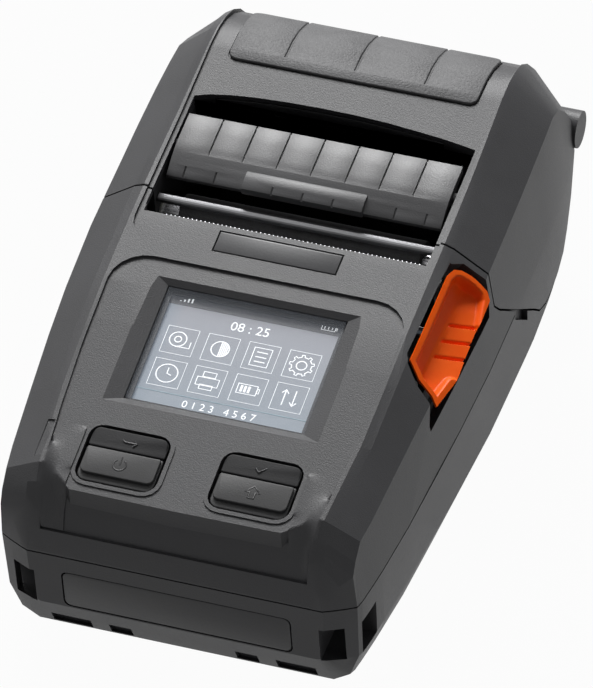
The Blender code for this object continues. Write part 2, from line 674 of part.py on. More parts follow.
def on_shoulder(outline):
    """A prism square on the shoulder's slope, measured from the casing's upper corner."""
    mesh = slab("Z", outline, HEIGHT + SHOULDER_NEAR, HEIGHT + SHOULDER_FAR)
    return turned(mesh, (HALF, 0, HEIGHT), SHOULDER_SLOPE, "Y")


def build_upper_case():
    case = keep(part("upper_case", form(), "case"), limits((None, None, SEAM_Z + SEAM_GAP / 2), (None, y_at(upper_rear_share), None)))
    cut(case, cover_side(SKIRT_GAP), form(CASE_WALL), recess_cutter())
    # Sloping panel, its front lip standing proud of the form.
    outline = [(x * HALF, y_at(y)) for x, y in panel_outline_shares]
    panel = guide("panel", slab("Z", whole_outline(outline), RECESS_FOOT_Z, HEIGHT + OVERRUN))
    keep(panel, on_panel(block((-LARGE, -LARGE, -PANEL_THICK), (LARGE, LARGE, 0))))
    allowed = guide("panel_limit", form(PANEL_SINK))
    join(allowed, limits((None, None, None), (None, y_at(panel_level_share), None)))
    keep(panel, allowed)
    join(case, panel)
    lip = guide("lip", slab("Z", whole_outline([(0, outline[3][1])] + outline[3:]), RECESS_FOOT_Z, HEIGHT + OVERRUN))
    keep(lip, on_panel(block((-LARGE, -LARGE, -LIP_THICK), (LARGE, LARGE, -FIT))))
    join(case, lip)
    cut(case, depression_cutter())
    # Mouth in front of the cover.
    cut(case, block((-BAY_HALF, y_at(mouth_share), DEPRESSION_FOOT_Z), (BAY_HALF, REAR, HEIGHT + OVERRUN)))
    # Display frame, window and its ledge.
    rim = [m + 2 * FRAME_RIM for m in MODULE[:2]]
    join(case, panel_block((0, 0), rim, -FRAME_DEPTH, -PANEL_THICK + FIT))
    cut(case, bezel_cutter(), panel_block((0, 0), WINDOW, -BEZEL_DEPTH - LENS_THICK - FIT, OVERRUN))
    cut(case, panel_block((0, 0), [w - 2 * LENS_LEDGE for w in WINDOW], -2 * FRAME_DEPTH, OVERRUN))
    cut(case, panel_block((0, 0), [m + 2 * FIT for m in MODULE[:2]], -2 * FRAME_DEPTH, -PANEL_THICK))
    # Key wells with a raised rim.
    for side in (-1, 1):
        centre = (side * WELL_PLACE[0], WELL_PLACE[1])
        join(case, panel_block(centre, [w + 2 * WELL_RIM for w in WELL], -PANEL_THICK / 2, WELL_RIM_HEIGHT,
                               WELL_CORNER + WELL_RIM, 4))
    for side in (-1, 1):
        centre = (side * WELL_PLACE[0], WELL_PLACE[1])
        cut(case, panel_block(centre, WELL, -2 * LIP_THICK, OVERRUN, WELL_CORNER, 4))
    cut(case, panel_block((0, WELL_PLACE[1]), [size + 2 * FIT for size in mat_size()], -2 * LIP_THICK, MAT_TOP + FIT))
    # Status light on the left rail and badge seat in front of the mouth.
    cut(case, block((-LIGHT_SIDE - LIGHT_HALF_WIDTH - FIT, y_at(light_shares[0]) - FIT, RECESS_FOOT_Z),
                    (-LIGHT_SIDE + LIGHT_HALF_WIDTH + FIT, y_at(light_shares[1]) + FIT, HEIGHT + OVERRUN)))
    seat = guide("badge_seat", block((-BADGE[0] / 2 - FIT, y_at(badge_shares[0]) - FIT, DEPRESSION_FOOT_Z),
                                     (BADGE[0] / 2 + FIT, y_at(badge_shares[1]) + FIT, HEIGHT + OVERRUN)))
    cut(case, cut(seat, form(DEPRESSION_DEPTH + BADGE[1])))
    # Lever pocket with a bearing for the lever's pin.
    slot = shoulder_outline(lever_slot_shares)
    middle = sum(slot, Vector((0, 0))) / len(slot)
    rim_outline = [tuple(point + (point - middle).normalized() * POCKET_RIM) for point in slot]
    pocket = guide("lever_pocket", on_shoulder(rim_outline))
    keep(pocket, form(CASE_WALL / 2, *shoulder_shares))
    cut(pocket, form(POCKET_DEPTH + POCKET_FLOOR, *shoulder_shares))
    join(case, pocket)
    y, z = LEVER_PIVOT
    well = guide("lever_well", on_shoulder(slot))
    cut(well, form(POCKET_DEPTH, *shoulder_shares))
    cut(case, well)
    cut(case, block((HUB_NEAR - FIT, y - HUB_RADIUS - FIT, z - HUB_RADIUS - FIT),
                    (HUB_FAR + FIT, y + HUB_RADIUS + FIT, HEIGHT - HUB_RADIUS * 2)))
    for near, high in ((HUB_NEAR - FIT - BRACKET, BRACKET_INNER_HIGH), (HUB_FAR + FIT, BRACKET_OUTER_HIGH)):
        join(case, block((near, y - BRACKET_HALF, BRACKET_LOW), (near + BRACKET, y + BRACKET_HALF, high)))
    cut(case, rod("X", HUB_NEAR - 3 * BRACKET, HUB_FAR + 3 * BRACKET, LEVER_PIVOT, LEVER_PIN_RADIUS + SHAFT_GAP, 12))
    return case


def build_lever():
    y, z = LEVER_PIVOT
    middle = (HUB_NEAR + HUB_FAR) / 2
    lever = part("release_lever", on_shoulder(shoulder_outline(lever_outline_shares)), "orange", (middle, y, z))
    keep(lever, form(LEVER_SINK))
    cut(lever, form(LEVER_THICK))
    scoop = guide("lever_scoop", on_shoulder(shoulder_outline(lever_scoop_shares)))
    cut(scoop, form(SCOOP_DEPTH))
    cut(lever, scoop)
    neck = guide("lever_neck", block((HUB_NEAR, y - HUB_NECK, z), (HUB_FAR, y + HUB_NECK, HEIGHT)))
    keep(neck, form((LEVER_THICK + SCOOP_DEPTH) / 2))
    join(lever, neck, rod("X", HUB_NEAR, HUB_FAR, LEVER_PIVOT, HUB_RADIUS, 16))
    cut(lever, rod("X", HUB_NEAR - BRACKET, HUB_FAR + BRACKET, LEVER_PIVOT, LEVER_PIN_RADIUS + SHAFT_GAP, 12))
    part("lever_pin", rod("X", HUB_NEAR - FIT - BRACKET, HUB_FAR + FIT + BRACKET, LEVER_PIVOT, LEVER_PIN_RADIUS, 12),
         "steel", (middle, y, z), True)


# Media cover: shell, side plates of the bay, hinge barrel, catch stubs, flap, bar, pad and platen.
PLATE_THICK = 0.0020
PLATE_FOOT_Z = z_at(0.6748)
PLATE_TOP_Z = z_at(0.9387)
BAY_LIP = 0.0015
BAY_LIP_FOOT_Z = z_at(0.8742)
BAY_LIP_TOP_Z = z_at(0.9632)
STUB_NEAR, STUB_FAR = x_at(0.8477), x_at(0.9712)
STUB_RADIUS = 0.0015
STUB = (y_at(0.5955), z_at(0.6672))
PLATEN = (y_at(0.5825), z_at(0.7515))
PLATEN_RADIUS = 0.0050
PLATEN_HALF = x_at(0.5967)
SHAFT_RADIUS = 0.0022
BUSH_RADIUS = 0.0032
BUSH_PROUD = 0.0003
PAD_HALF = x_at(0.6214)
PAD_DEPTH = 0.0012
PAD_GAP = 0.0003
pad_shares = (0.8108, 0.9370)
PAD_CORNER = 0.0020
BAR = (y_at(0.5665), z_at(0.8589))
BAR_RADIUS = 0.0011
BAR_HALF = x_at(0.6955)
FLAP_PIVOT = (y_at(0.6521), z_at(0.9233))
FLAP_HALF = x_at(0.6811)
FLAP_PIN = 0.0011
FLAP_PIN_FAR = x_at(0.7284)
flap_shares = ((.6952, .9724), (.6262, .9600), (.5905, .9200), (.5905, .8950), (.6272, .9310), (.6440, .9110),
               (.6600, .9110), (.6720, .9380), (.6945, .9440))
TAB_HALF = 0.0145
tab_shares = (.5831, .6108)
TAB_LOW, TAB_HIGH = z_at(0.9080), z_at(0.9571)


def build_cover():
    cover = keep(part("media_cover", form(), "cover", (0, *HINGE)), cover_side())
    cut(cover, form(COVER_WALL), depression_cutter())
    bay_rear = y_at(bay_rear_share)
    cut(cover, block((-BAY_HALF, FRONT, PLATE_FOOT_Z), (BAY_HALF, bay_rear, HEIGHT + OVERRUN)))
    seam = y_at(cover_seam_share)
    for side in (-1, 1):
        join(cover, sided(side, BAY_HALF, BAY_HALF + PLATE_THICK, (seam + FIT, PLATE_FOOT_Z), (bay_rear, PLATE_TOP_Z)))
    join(cover, block((-BAY_HALF - PLATE_THICK, bay_rear, BAY_LIP_FOOT_Z),
                      (BAY_HALF + PLATE_THICK, bay_rear + BAY_LIP, BAY_LIP_TOP_Z)))
    join(cover, rod("X", -HINGE_HALF, HINGE_HALF, HINGE, HINGE_RADIUS, 24))
    for side in (-1, 1):
        ends = sorted((side * (KNUCKLE_NEAR - FIT), side * (KNUCKLE_FAR + FIT)))
        cut(cover, rod("X", *ends, HINGE, HINGE_RADIUS + HUB_GAP, 24))
    cut(cover, rod("X", -PIN_HALF, PIN_HALF, HINGE, PIN_RADIUS + SHAFT_GAP, 16))
    for side in (-1, 1):
        join(cover, rod("X", *sorted((side * STUB_NEAR, side * STUB_FAR)), STUB, STUB_RADIUS, 12))
    cut(cover, rod("X", -BAY_HALF - 2 * PLATE_THICK, BAY_HALF + 2 * PLATE_THICK, PLATEN, BUSH_RADIUS + FIT, 20))
    cut(cover, rod("X", -FLAP_PIN_FAR - FIT, FLAP_PIN_FAR + FIT, FLAP_PIVOT, FLAP_PIN + SHAFT_GAP, 12))
    seat = guide("pad_seat", block((-PAD_HALF - PAD_GAP, y_at(pad_shares[0]) - PAD_GAP, DEPRESSION_FOOT_Z),
                                   (PAD_HALF + PAD_GAP, y_at(pad_shares[1]) + PAD_GAP, HEIGHT + OVERRUN),
                                   PAD_CORNER, "Z"))
    cut(cover, cut(seat, form(PAD_DEPTH)))
    pad = part("cover_pad", block((-PAD_HALF, y_at(pad_shares[0]), DEPRESSION_FOOT_Z),
                                  (PAD_HALF, y_at(pad_shares[1]), HEIGHT + OVERRUN), PAD_CORNER, "Z"),
               "rubber", (0, *HINGE))
    keep(pad, form())
    cut(pad, form(PAD_DEPTH - PAD_GAP))


def build_flap():
    profile = [(y_at(y), z * HEIGHT) for y, z in flap_shares]
    flap = part("bay_flap", slab("X", profile, -FLAP_HALF, FLAP_HALF), "black", (0, *FLAP_PIVOT))
    join(flap, block((-TAB_HALF, y_at(tab_shares[0]), TAB_LOW), (TAB_HALF, y_at(tab_shares[1]), TAB_HIGH)))
    join(flap, rod("X", -FLAP_PIN_FAR, FLAP_PIN_FAR, FLAP_PIVOT, FLAP_PIN, 12))
    part("peel_bar", rod("X", -BAR_HALF, BAR_HALF, BAR, BAR_RADIUS, 16), "steel", (0, *BAR), True)


# Print train: platen on the cover, head and drive on a chassis in the case.
GEAR_MODULE = 0.0005
PLATEN_TEETH, IDLER_TEETH, PINION_TEETH = 24, 30, 12
PINION_Z = z_at(0.4904)
TRAIN_REACH = (PLATEN_TEETH / 2 + IDLER_TEETH + PINION_TEETH / 2) * GEAR_MODULE
TRAIN_DIRECTION = math.pi + math.asin((PLATEN[1] - PINION_Z) / TRAIN_REACH)


def gear_place(centre, teeth, other_teeth, direction):
    """Where a second gear's centre lies when it meshes in a direction from the first."""
    distance = (teeth + other_teeth) * GEAR_MODULE / 2
    return centre[0] + distance * math.cos(direction), centre[1] + distance * math.sin(direction)


IDLER = gear_place(PLATEN, PLATEN_TEETH, IDLER_TEETH, TRAIN_DIRECTION)
PINION = gear_place(IDLER, IDLER_TEETH, PINION_TEETH, TRAIN_DIRECTION)
GEAR_NEAR, GEAR_FAR = x_at(0.7613), x_at(0.8128)
SHAFT_LEFT, SHAFT_RIGHT = x_at(0.8272), x_at(0.7737)
BAY_TOP = BATTERY_TOP + BATTERY_GAP + BAY_WALL
MOTOR_RADIUS = z_at(0.1350)
MOTOR_NEAR, MOTOR_FAR = x_at(0.3498), x_at(0.7160)
AXLE_RADIUS = 0.0010
CHASSIS_NEAR, CHASSIS_FAR = x_at(0.7243), x_at(0.7531)
CHASSIS_LOW = BAY_TOP + SEAM_GAP
CHASSIS_SHELF, CHASSIS_HIGH = z_at(0.6442), z_at(0.8374)
EAR_WALL = 0.0014
BEAM_LOW = z_at(0.6748)
HEAD_HALF = x_at(0.6173)
HEAD_LINE, HEAD_LINE_HALF, HEAD_LINE_GAP = 0.0004, 0.0016, 0.00017
HEAD_THICK = 0.0036
HEAD_REAR = PLATEN[0] - PLATEN_RADIUS - HEAD_LINE - HEAD_LINE_GAP
HEAD_FRONT = HEAD_REAR - HEAD_THICK
BEAM_GAP, BEAM_THICK = 0.0017, 0.0042
BEAM_REAR = HEAD_FRONT - BEAM_GAP
BEAM_FRONT = BEAM_REAR - BEAM_THICK
CHASSIS_DEPTH = 0.0198
CHASSIS_REAR = HEAD_REAR - FIT
CHASSIS_FRONT = CHASSIS_REAR - CHASSIS_DEPTH
HEAD_LOW, HEAD_HIGH = z_at(0.6258), z_at(0.8282)
HEAD_PIVOT_BACK = 0.0023
HEAD_PIVOT = (HEAD_REAR - HEAD_PIVOT_BACK, z_at(0.6442))
HEAD_STUB = 0.0010
TEETH_COUNT = 40
TEETH_HALF = x_at(0.6379)
TEAR_THICK = 0.0005
TEETH_LOW = z_at(0.8436)
TEETH_HIGH = TEETH_LOW + TEAR_THICK
TEAR_DEPTH, TOOTH_DEPTH, TEAR_BACK = 0.0056, 0.0007, 0.0011
LATCH_SHAFT = (y_at(0.5616), z_at(0.4601))
LATCH_ROD_RADIUS = 0.0020
LATCH_HOOK_NEAR, LATCH_HOOK_FAR = x_at(0.8477), x_at(0.8848)
LATCH_ARM = 0.0012
LATCH_NOSE = 0.0014
LATCH_HEIGHT = STUB[1] + STUB_RADIUS + FIT + LATCH_NOSE
LATCH_NOSE_REAR = STUB[0] - STUB_RADIUS - FIT


def build_print_train():
    turn = math.pi / 2
    idler_turn = meshing_turn(PLATEN, PLATEN_TEETH, turn, IDLER, IDLER_TEETH)
    pinion_turn = meshing_turn(IDLER, IDLER_TEETH, idler_turn, PINION, PINION_TEETH)
    part("platen_shaft", rod("X", -SHAFT_LEFT, SHAFT_RIGHT, PLATEN, SHAFT_RADIUS, 20), "steel", (0, *PLATEN), True)
    roller = part("platen_roller", rod("X", -PLATEN_HALF, PLATEN_HALF, PLATEN, PLATEN_RADIUS, 36), "rubber",
                  (0, *PLATEN), True)
    cut(roller, rod("X", -SHAFT_LEFT, SHAFT_LEFT, PLATEN, SHAFT_RADIUS + SHAFT_GAP, 20))
    gear = part("platen_gear", slab("X", gear_outline(PLATEN, PLATEN_TEETH, GEAR_MODULE, turn),
                                    -GEAR_FAR, -GEAR_NEAR), "acetal", (0, *PLATEN))
    cut(gear, rod("X", -HALF, HALF, PLATEN, SHAFT_RADIUS + SHAFT_GAP, 20))
    idler = part("idler_gear", slab("X", gear_outline(IDLER, IDLER_TEETH, GEAR_MODULE, idler_turn),
                                    -GEAR_FAR, -GEAR_NEAR), "acetal", (0, *IDLER))
    cut(idler, rod("X", -HALF, HALF, IDLER, AXLE_RADIUS + SHAFT_GAP, 16))
    pinion = part("motor_pinion", slab("X", gear_outline(PINION, PINION_TEETH, GEAR_MODULE, pinion_turn),
                                       -GEAR_FAR, -GEAR_NEAR), "brass", (0, *PINION))
    cut(pinion, rod("X", -HALF, HALF, PINION, AXLE_RADIUS + SHAFT_GAP, 16))
    for side, name in ((-1, "left"), (1, "right")):
        ends = sorted((side * (BAY_HALF - BUSH_PROUD), side * (BAY_HALF + PLATE_THICK + BUSH_PROUD)))
        bush = part(f"platen_bush_{name}", rod("X", *ends, PLATEN, BUSH_RADIUS, 20), "brass", (0, *PLATEN), True)
        cut(bush, rod("X", -HALF, HALF, PLATEN, SHAFT_RADIUS + SHAFT_GAP, 20))
    motor = part("drive_motor", rod("X", -MOTOR_FAR, -MOTOR_NEAR, PINION, MOTOR_RADIUS, 32), "black", (0, *PINION), True)
    join(motor, rod("X", -GEAR_FAR, -MOTOR_NEAR, PINION, AXLE_RADIUS, 16))
    # Chassis with a side plate at each end of its beam.
    chassis = part("print_chassis", block((-CHASSIS_FAR + FIT, BEAM_FRONT, BEAM_LOW),
                                          (CHASSIS_FAR - FIT, BEAM_REAR, CHASSIS_HIGH - FIT)), "grey")
    step = BEAM_FRONT - FIT
    ear = [part_of + LATCH_ROD_RADIUS + EAR_WALL for part_of in LATCH_SHAFT]
    plate = [(CHASSIS_FRONT, CHASSIS_LOW), (ear[0], CHASSIS_LOW), tuple(ear), (CHASSIS_REAR, ear[1]),
             (CHASSIS_REAR, CHASSIS_HIGH), (step, CHASSIS_HIGH), (step, CHASSIS_SHELF), (CHASSIS_FRONT, CHASSIS_SHELF)]
    for side in (-1, 1):
        join(chassis, slab("X", plate, *sorted((side * CHASSIS_NEAR, side * CHASSIS_FAR))))
        cut(chassis, rod("X", *sorted((side * (CHASSIS_NEAR - FIT), side * (CHASSIS_FAR + FIT))), HEAD_PIVOT,
                         HEAD_STUB + SHAFT_GAP, 16))
    cut(chassis, rod("X", -HALF, HALF, LATCH_SHAFT, LATCH_ROD_RADIUS + SHAFT_GAP, 16))
    join(chassis, rod("X", -GEAR_FAR - FIT, -CHASSIS_NEAR, IDLER, AXLE_RADIUS, 16))
    cut(chassis, rod("X", -HALF, -CHASSIS_NEAR + FIT, PINION, AXLE_RADIUS + FIT, 16))
    head = part("print_head", block((-HEAD_HALF, HEAD_FRONT, HEAD_LOW), (HEAD_HALF, HEAD_REAR, HEAD_HIGH)), "aluminium",
                (0, *HEAD_PIVOT))
    join(head, rod("X", -CHASSIS_FAR, CHASSIS_FAR, HEAD_PIVOT, HEAD_STUB, 16))
    join(head, block((-PLATEN_HALF, HEAD_REAR - FIT, PLATEN[1] - HEAD_LINE_HALF),
                     (PLATEN_HALF, HEAD_REAR + HEAD_LINE, PLATEN[1] + HEAD_LINE_HALF)))
    # Tear bar with its row of teeth.
    tip = HEAD_REAR - TEAR_BACK
    root, front = tip - TOOTH_DEPTH, tip - TEAR_DEPTH
    pitch = 2 * TEETH_HALF / TEETH_COUNT
    outline = [(-TEETH_HALF, front), (-TEETH_HALF, root)]
    for i in range(TEETH_COUNT):
        outline += [(-TEETH_HALF + (i + 1 / 2) * pitch, tip), (-TEETH_HALF + (i + 1) * pitch, root)]
    outline.append((TEETH_HALF, front))
    part("tear_bar", slab("Z", outline, TEETH_LOW, TEETH_HIGH), "steel")
    # Latch shaft with a hook near each end.
    y, z = LATCH_SHAFT
    shaft = part("latch_shaft", rod("X", -LATCH_HOOK_FAR, LATCH_HOOK_FAR, LATCH_SHAFT, LATCH_ROD_RADIUS, 16), "black",
                 (0, y, z))
    for side in (-1, 1):
        join(shaft, sided(side, LATCH_HOOK_NEAR, LATCH_HOOK_FAR, (y - LATCH_ARM, z), (y + LATCH_ARM, LATCH_HEIGHT)))
        join(shaft, sided(side, LATCH_HOOK_NEAR, LATCH_HOOK_FAR, (y, LATCH_HEIGHT - LATCH_NOSE),
                          (LATCH_NOSE_REAR, LATCH_HEIGHT)))


# Media guides: two sliding holders joined by racks and a pinion.
RACK_MODULE = 0.0010
RACK_TEETH = 10
RACK_TOOTH_COUNT = 14
RACK_CENTRE = (0, y_at(0.7540))
RACK_GAP, RACK_THICK = 0.0010, 0.0020
RACK_LOW = COVER_WALL + SKIRT_GAP + BUCKET_WALL + RACK_GAP
RACK_HIGH = RACK_LOW + RACK_THICK
RACK_BACK = 0.0030
GUIDE_NEAR, GUIDE_FAR = x_at(0.6255), x_at(0.6667)
GUIDE_HALF = 0.0080
GUIDE_LOW, GUIDE_TOP = z_at(0.1994), z_at(0.6442)
GUIDE_FOOT_TOP = z_at(0.2914)
RACK_REACH = RACK_TEETH * RACK_MODULE / 2 + RACK_MODULE * root_depth_share + RACK_BACK
GUIDE_DISC = 0.0066
GUIDE_DISC_DEPTH = 0.0040
GUIDE_AXIS = (y_at(0.8307), z_at(0.5215))
SPINDLE_RADIUS = 0.0014
SPINDLE_LENGTH = 0.0023
SPINDLE_FOOT = RACK_LOW - SPINDLE_LENGTH


def rack_outline():
    """The right rack's edge along X, its teeth facing the pinion."""
    pitch = math.pi * RACK_MODULE
    line = RACK_CENTRE[1] - RACK_TEETH * RACK_MODULE / 2
    root, crown = line - RACK_MODULE * root_depth_share, line + RACK_MODULE * crown_height_share
    outer = GUIDE_FAR - FIT
    points = [(outer, root - RACK_BACK), (outer, root)]
    for i in range(RACK_TOOTH_COUNT):
        middle = (round((outer - (i + 1) * pitch) / pitch - 1 / 2) + 1 / 2) * pitch
        for share, y in zip(reversed(tooth_part_shares), (root, crown, crown, root)):
            points.append((middle + share * pitch, y))
    last = points[-1][0] - pitch / 4
    return points + [(last, root), (last, root - RACK_BACK)]


def build_guides():
    y = GUIDE_AXIS[0]
    for side, name in ((-1, "left"), (1, "right")):
        rack = slab("Z", rack_outline(), RACK_LOW, RACK_HIGH)
        if side < 0:
            turned(rack, (*RACK_CENTRE, 0), math.pi, "Z")
        holder = part(f"media_guide_{name}", rack, "grey", (side * GUIDE_FAR, *GUIDE_AXIS))
        near, far = RACK_CENTRE[1] - RACK_REACH + FIT, RACK_CENTRE[1] + RACK_REACH - FIT
        foot = guide(f"guide_foot_{name}", sided(side, GUIDE_NEAR, GUIDE_FAR, (near, RACK_HIGH + FIT),
                                                (y + GUIDE_HALF, GUIDE_FOOT_TOP)))
        cut(foot, block((-HALF, far, -OVERRUN), (HALF, REAR, GUIDE_LOW)))
        leg = sorted((RACK_CENTRE[1] - side * (RACK_REACH - FIT), RACK_CENTRE[1] - side * (RACK_REACH - RACK_BACK + FIT)))
        join(foot, sided(side, GUIDE_NEAR, GUIDE_FAR, (leg[0], RACK_LOW + FIT), (leg[1], RACK_HIGH + 2 * FIT)))
        join(foot, sided(side, GUIDE_NEAR, GUIDE_FAR, (y - GUIDE_HALF, GUIDE_FOOT_TOP - FIT), (y + GUIDE_HALF, GUIDE_TOP)))
        join(holder, foot)
        ends = sorted((side * (GUIDE_NEAR - GUIDE_DISC_DEPTH), side * (GUIDE_NEAR + FIT)))
        join(holder, rod("X", *ends, GUIDE_AXIS, GUIDE_DISC, 24))
    pinion = part("guide_pinion", slab("Z", gear_outline(RACK_CENTRE, RACK_TEETH, RACK_MODULE, math.pi / 2),
                                       RACK_LOW, RACK_HIGH), "acetal", (*RACK_CENTRE, RACK_LOW))
    join(pinion, rod("Z", SPINDLE_FOOT, RACK_HIGH, RACK_CENTRE, SPINDLE_RADIUS, 16))


# Keys and the electronics.
KEY_GAP = 0.0004
KEY_SIDE = 0.0006
KEY_DEPTH = 0.0024
KEY_PROUD = 0.0005
KEY_EDGE = 0.0005
KEY_CORNER = 0.0022
upper_key_share = 0.37
MAT_TOP = -0.0036
MAT_THICK = 0.0008
MAT_RIM = 0.0026
KEY_BOARD_THICK = 0.0012
BOARD_HALF, BOARD_LOW = x_at(0.7922), z_at(0.4601)
BOARD_THICK = 0.0016
BOARD = (BOARD_HALF, BOARD_LOW, BOARD_LOW + BOARD_THICK)
board_shares = (0.0430, 0.4000)
CHIP = (0.0070, 0.0010)
chip_place = (0.10, 0.200)
RADIO = (0.0090, 0.0060, 0.0018)
radio_place = (0.48, 0.110)
BUZZER_RADIUS, BUZZER_HEIGHT = 0.0045, 0.0040
buzzer_place = (-0.50, 0.330)
POST_RADIUS = 0.0022
post_places = ((.62, .120), (.62, .345))
PORT_BOARD_HALF = x_at(0.5144)
PORT_BOARD_INSET, PORT_BOARD_DEPTH, PORT_BOARD_RISE, PORT_BOARD_THICK = 0.0030, 0.0085, 0.0006, 0.0012
PORT_BOARD_FRONT = FRONT + PORT_BOARD_INSET
PORT_BOARD_REAR = PORT_BOARD_FRONT + PORT_BOARD_DEPTH
PORT_BOARD_LOW = PORT_LOW + PORT_BOARD_RISE
PORT_BOARD_HIGH = PORT_BOARD_LOW + PORT_BOARD_THICK
SOCKET_FOOT = PORT_BOARD_HIGH + SEAM_GAP
USB_NEAR, USB_FAR, USB_HEIGHT = 0.0060, 0.0150, 0.0032
JACK_NEAR, JACK_FAR, JACK_HEIGHT = 0.0060, 0.0150, 0.0064
USB = ((-USB_FAR, -USB_NEAR), (SOCKET_FOOT, SOCKET_FOOT + USB_HEIGHT))
JACK = ((JACK_NEAR, JACK_FAR), (SOCKET_FOOT, SOCKET_FOOT + JACK_HEIGHT))
SOCKET_INSET, SOCKET_DEPTH = 0.0024, 0.0076
SOCKET_FRONT = FRONT + SOCKET_INSET
SOCKET_REAR = SOCKET_FRONT + SOCKET_DEPTH
SOCKET_WALL = 0.0008
PACK_EDGE = 0.0010


def build_keys():
    length = WELL[1] - 2 * KEY_SIDE
    upper = length * upper_key_share - KEY_GAP / 2
    lower = length - upper - KEY_GAP
    rows = {"upper": (upper, WELL[1] / 2 - KEY_SIDE - upper / 2, 1),
            "lower": (lower, -WELL[1] / 2 + KEY_SIDE + lower / 2, -1)}
    for side, side_name in ((-1, "left"), (1, "right")):
        for row, (size, offset, outward) in rows.items():
            middle = (side * WELL_PLACE[0], WELL_PLACE[1] + offset)
            half = (WELL[0] / 2 - KEY_SIDE, size / 2)
            mesh = block((middle[0] - half[0], middle[1] - half[1], -KEY_DEPTH),
                         (middle[0] + half[0], middle[1] + half[1], KEY_PROUD))
            outer = [edge for edge in mesh.edges if abs(edge.verts[0].co.z - edge.verts[1].co.z) > KEY_DEPTH
                     and (edge.verts[0].co.y - middle[1]) * outward > 0]
            bmesh.ops.bevel(mesh, geom=outer, offset=KEY_CORNER, segments=4, profile=0.5, affect="EDGES")
            top = [edge for edge in mesh.edges if min(v.co.z for v in edge.verts) > KEY_PROUD - WELD]
            bmesh.ops.bevel(mesh, geom=top, offset=KEY_EDGE, segments=2, profile=0.5, affect="EDGES")
            slope = Matrix.Rotation(PANEL_SLOPE, 3, "X")
            at = slope @ Vector((*middle, 0)) + Vector((0, *PANEL_AXIS))
            part(f"key_{row}_{side_name}", on_panel(mesh), "keys", at)
    size = mat_size()
    part("key_mat", panel_block((0, WELL_PLACE[1]), size, MAT_TOP - MAT_THICK, MAT_TOP), "rubber")
    part("key_board", panel_block((0, WELL_PLACE[1]), size, MAT_TOP - MAT_THICK - FIT - KEY_BOARD_THICK,
                                  MAT_TOP - MAT_THICK - FIT), "board")


def build_display():
    lens_size = [w - 2 * FIT for w in WINDOW]
    part("display_lens", panel_block((0, 0), lens_size, -BEZEL_DEPTH - LENS_THICK, -BEZEL_DEPTH), "lens")
    part("display_module", panel_block((0, 0), MODULE[:2], MODULE_TOP - MODULE[2], MODULE_TOP), "screen")
    light = part("status_light", block((-LIGHT_SIDE - LIGHT_HALF_WIDTH, y_at(light_shares[0]), RECESS_FOOT_Z),
                                       (-LIGHT_SIDE + LIGHT_HALF_WIDTH, y_at(light_shares[1]), HEIGHT)), "light")
    keep(light, form(FIT))
    cut(light, form(LIGHT_DEPTH))
    badge = part("badge_plate", block((-BADGE[0] / 2, y_at(badge_shares[0]), DEPRESSION_FOOT_Z),
                                      (BADGE[0] / 2, y_at(badge_shares[1]), HEIGHT)), "black")
    keep(badge, form(DEPRESSION_DEPTH))
    cut(badge, form(DEPRESSION_DEPTH + BADGE[1] - FIT))


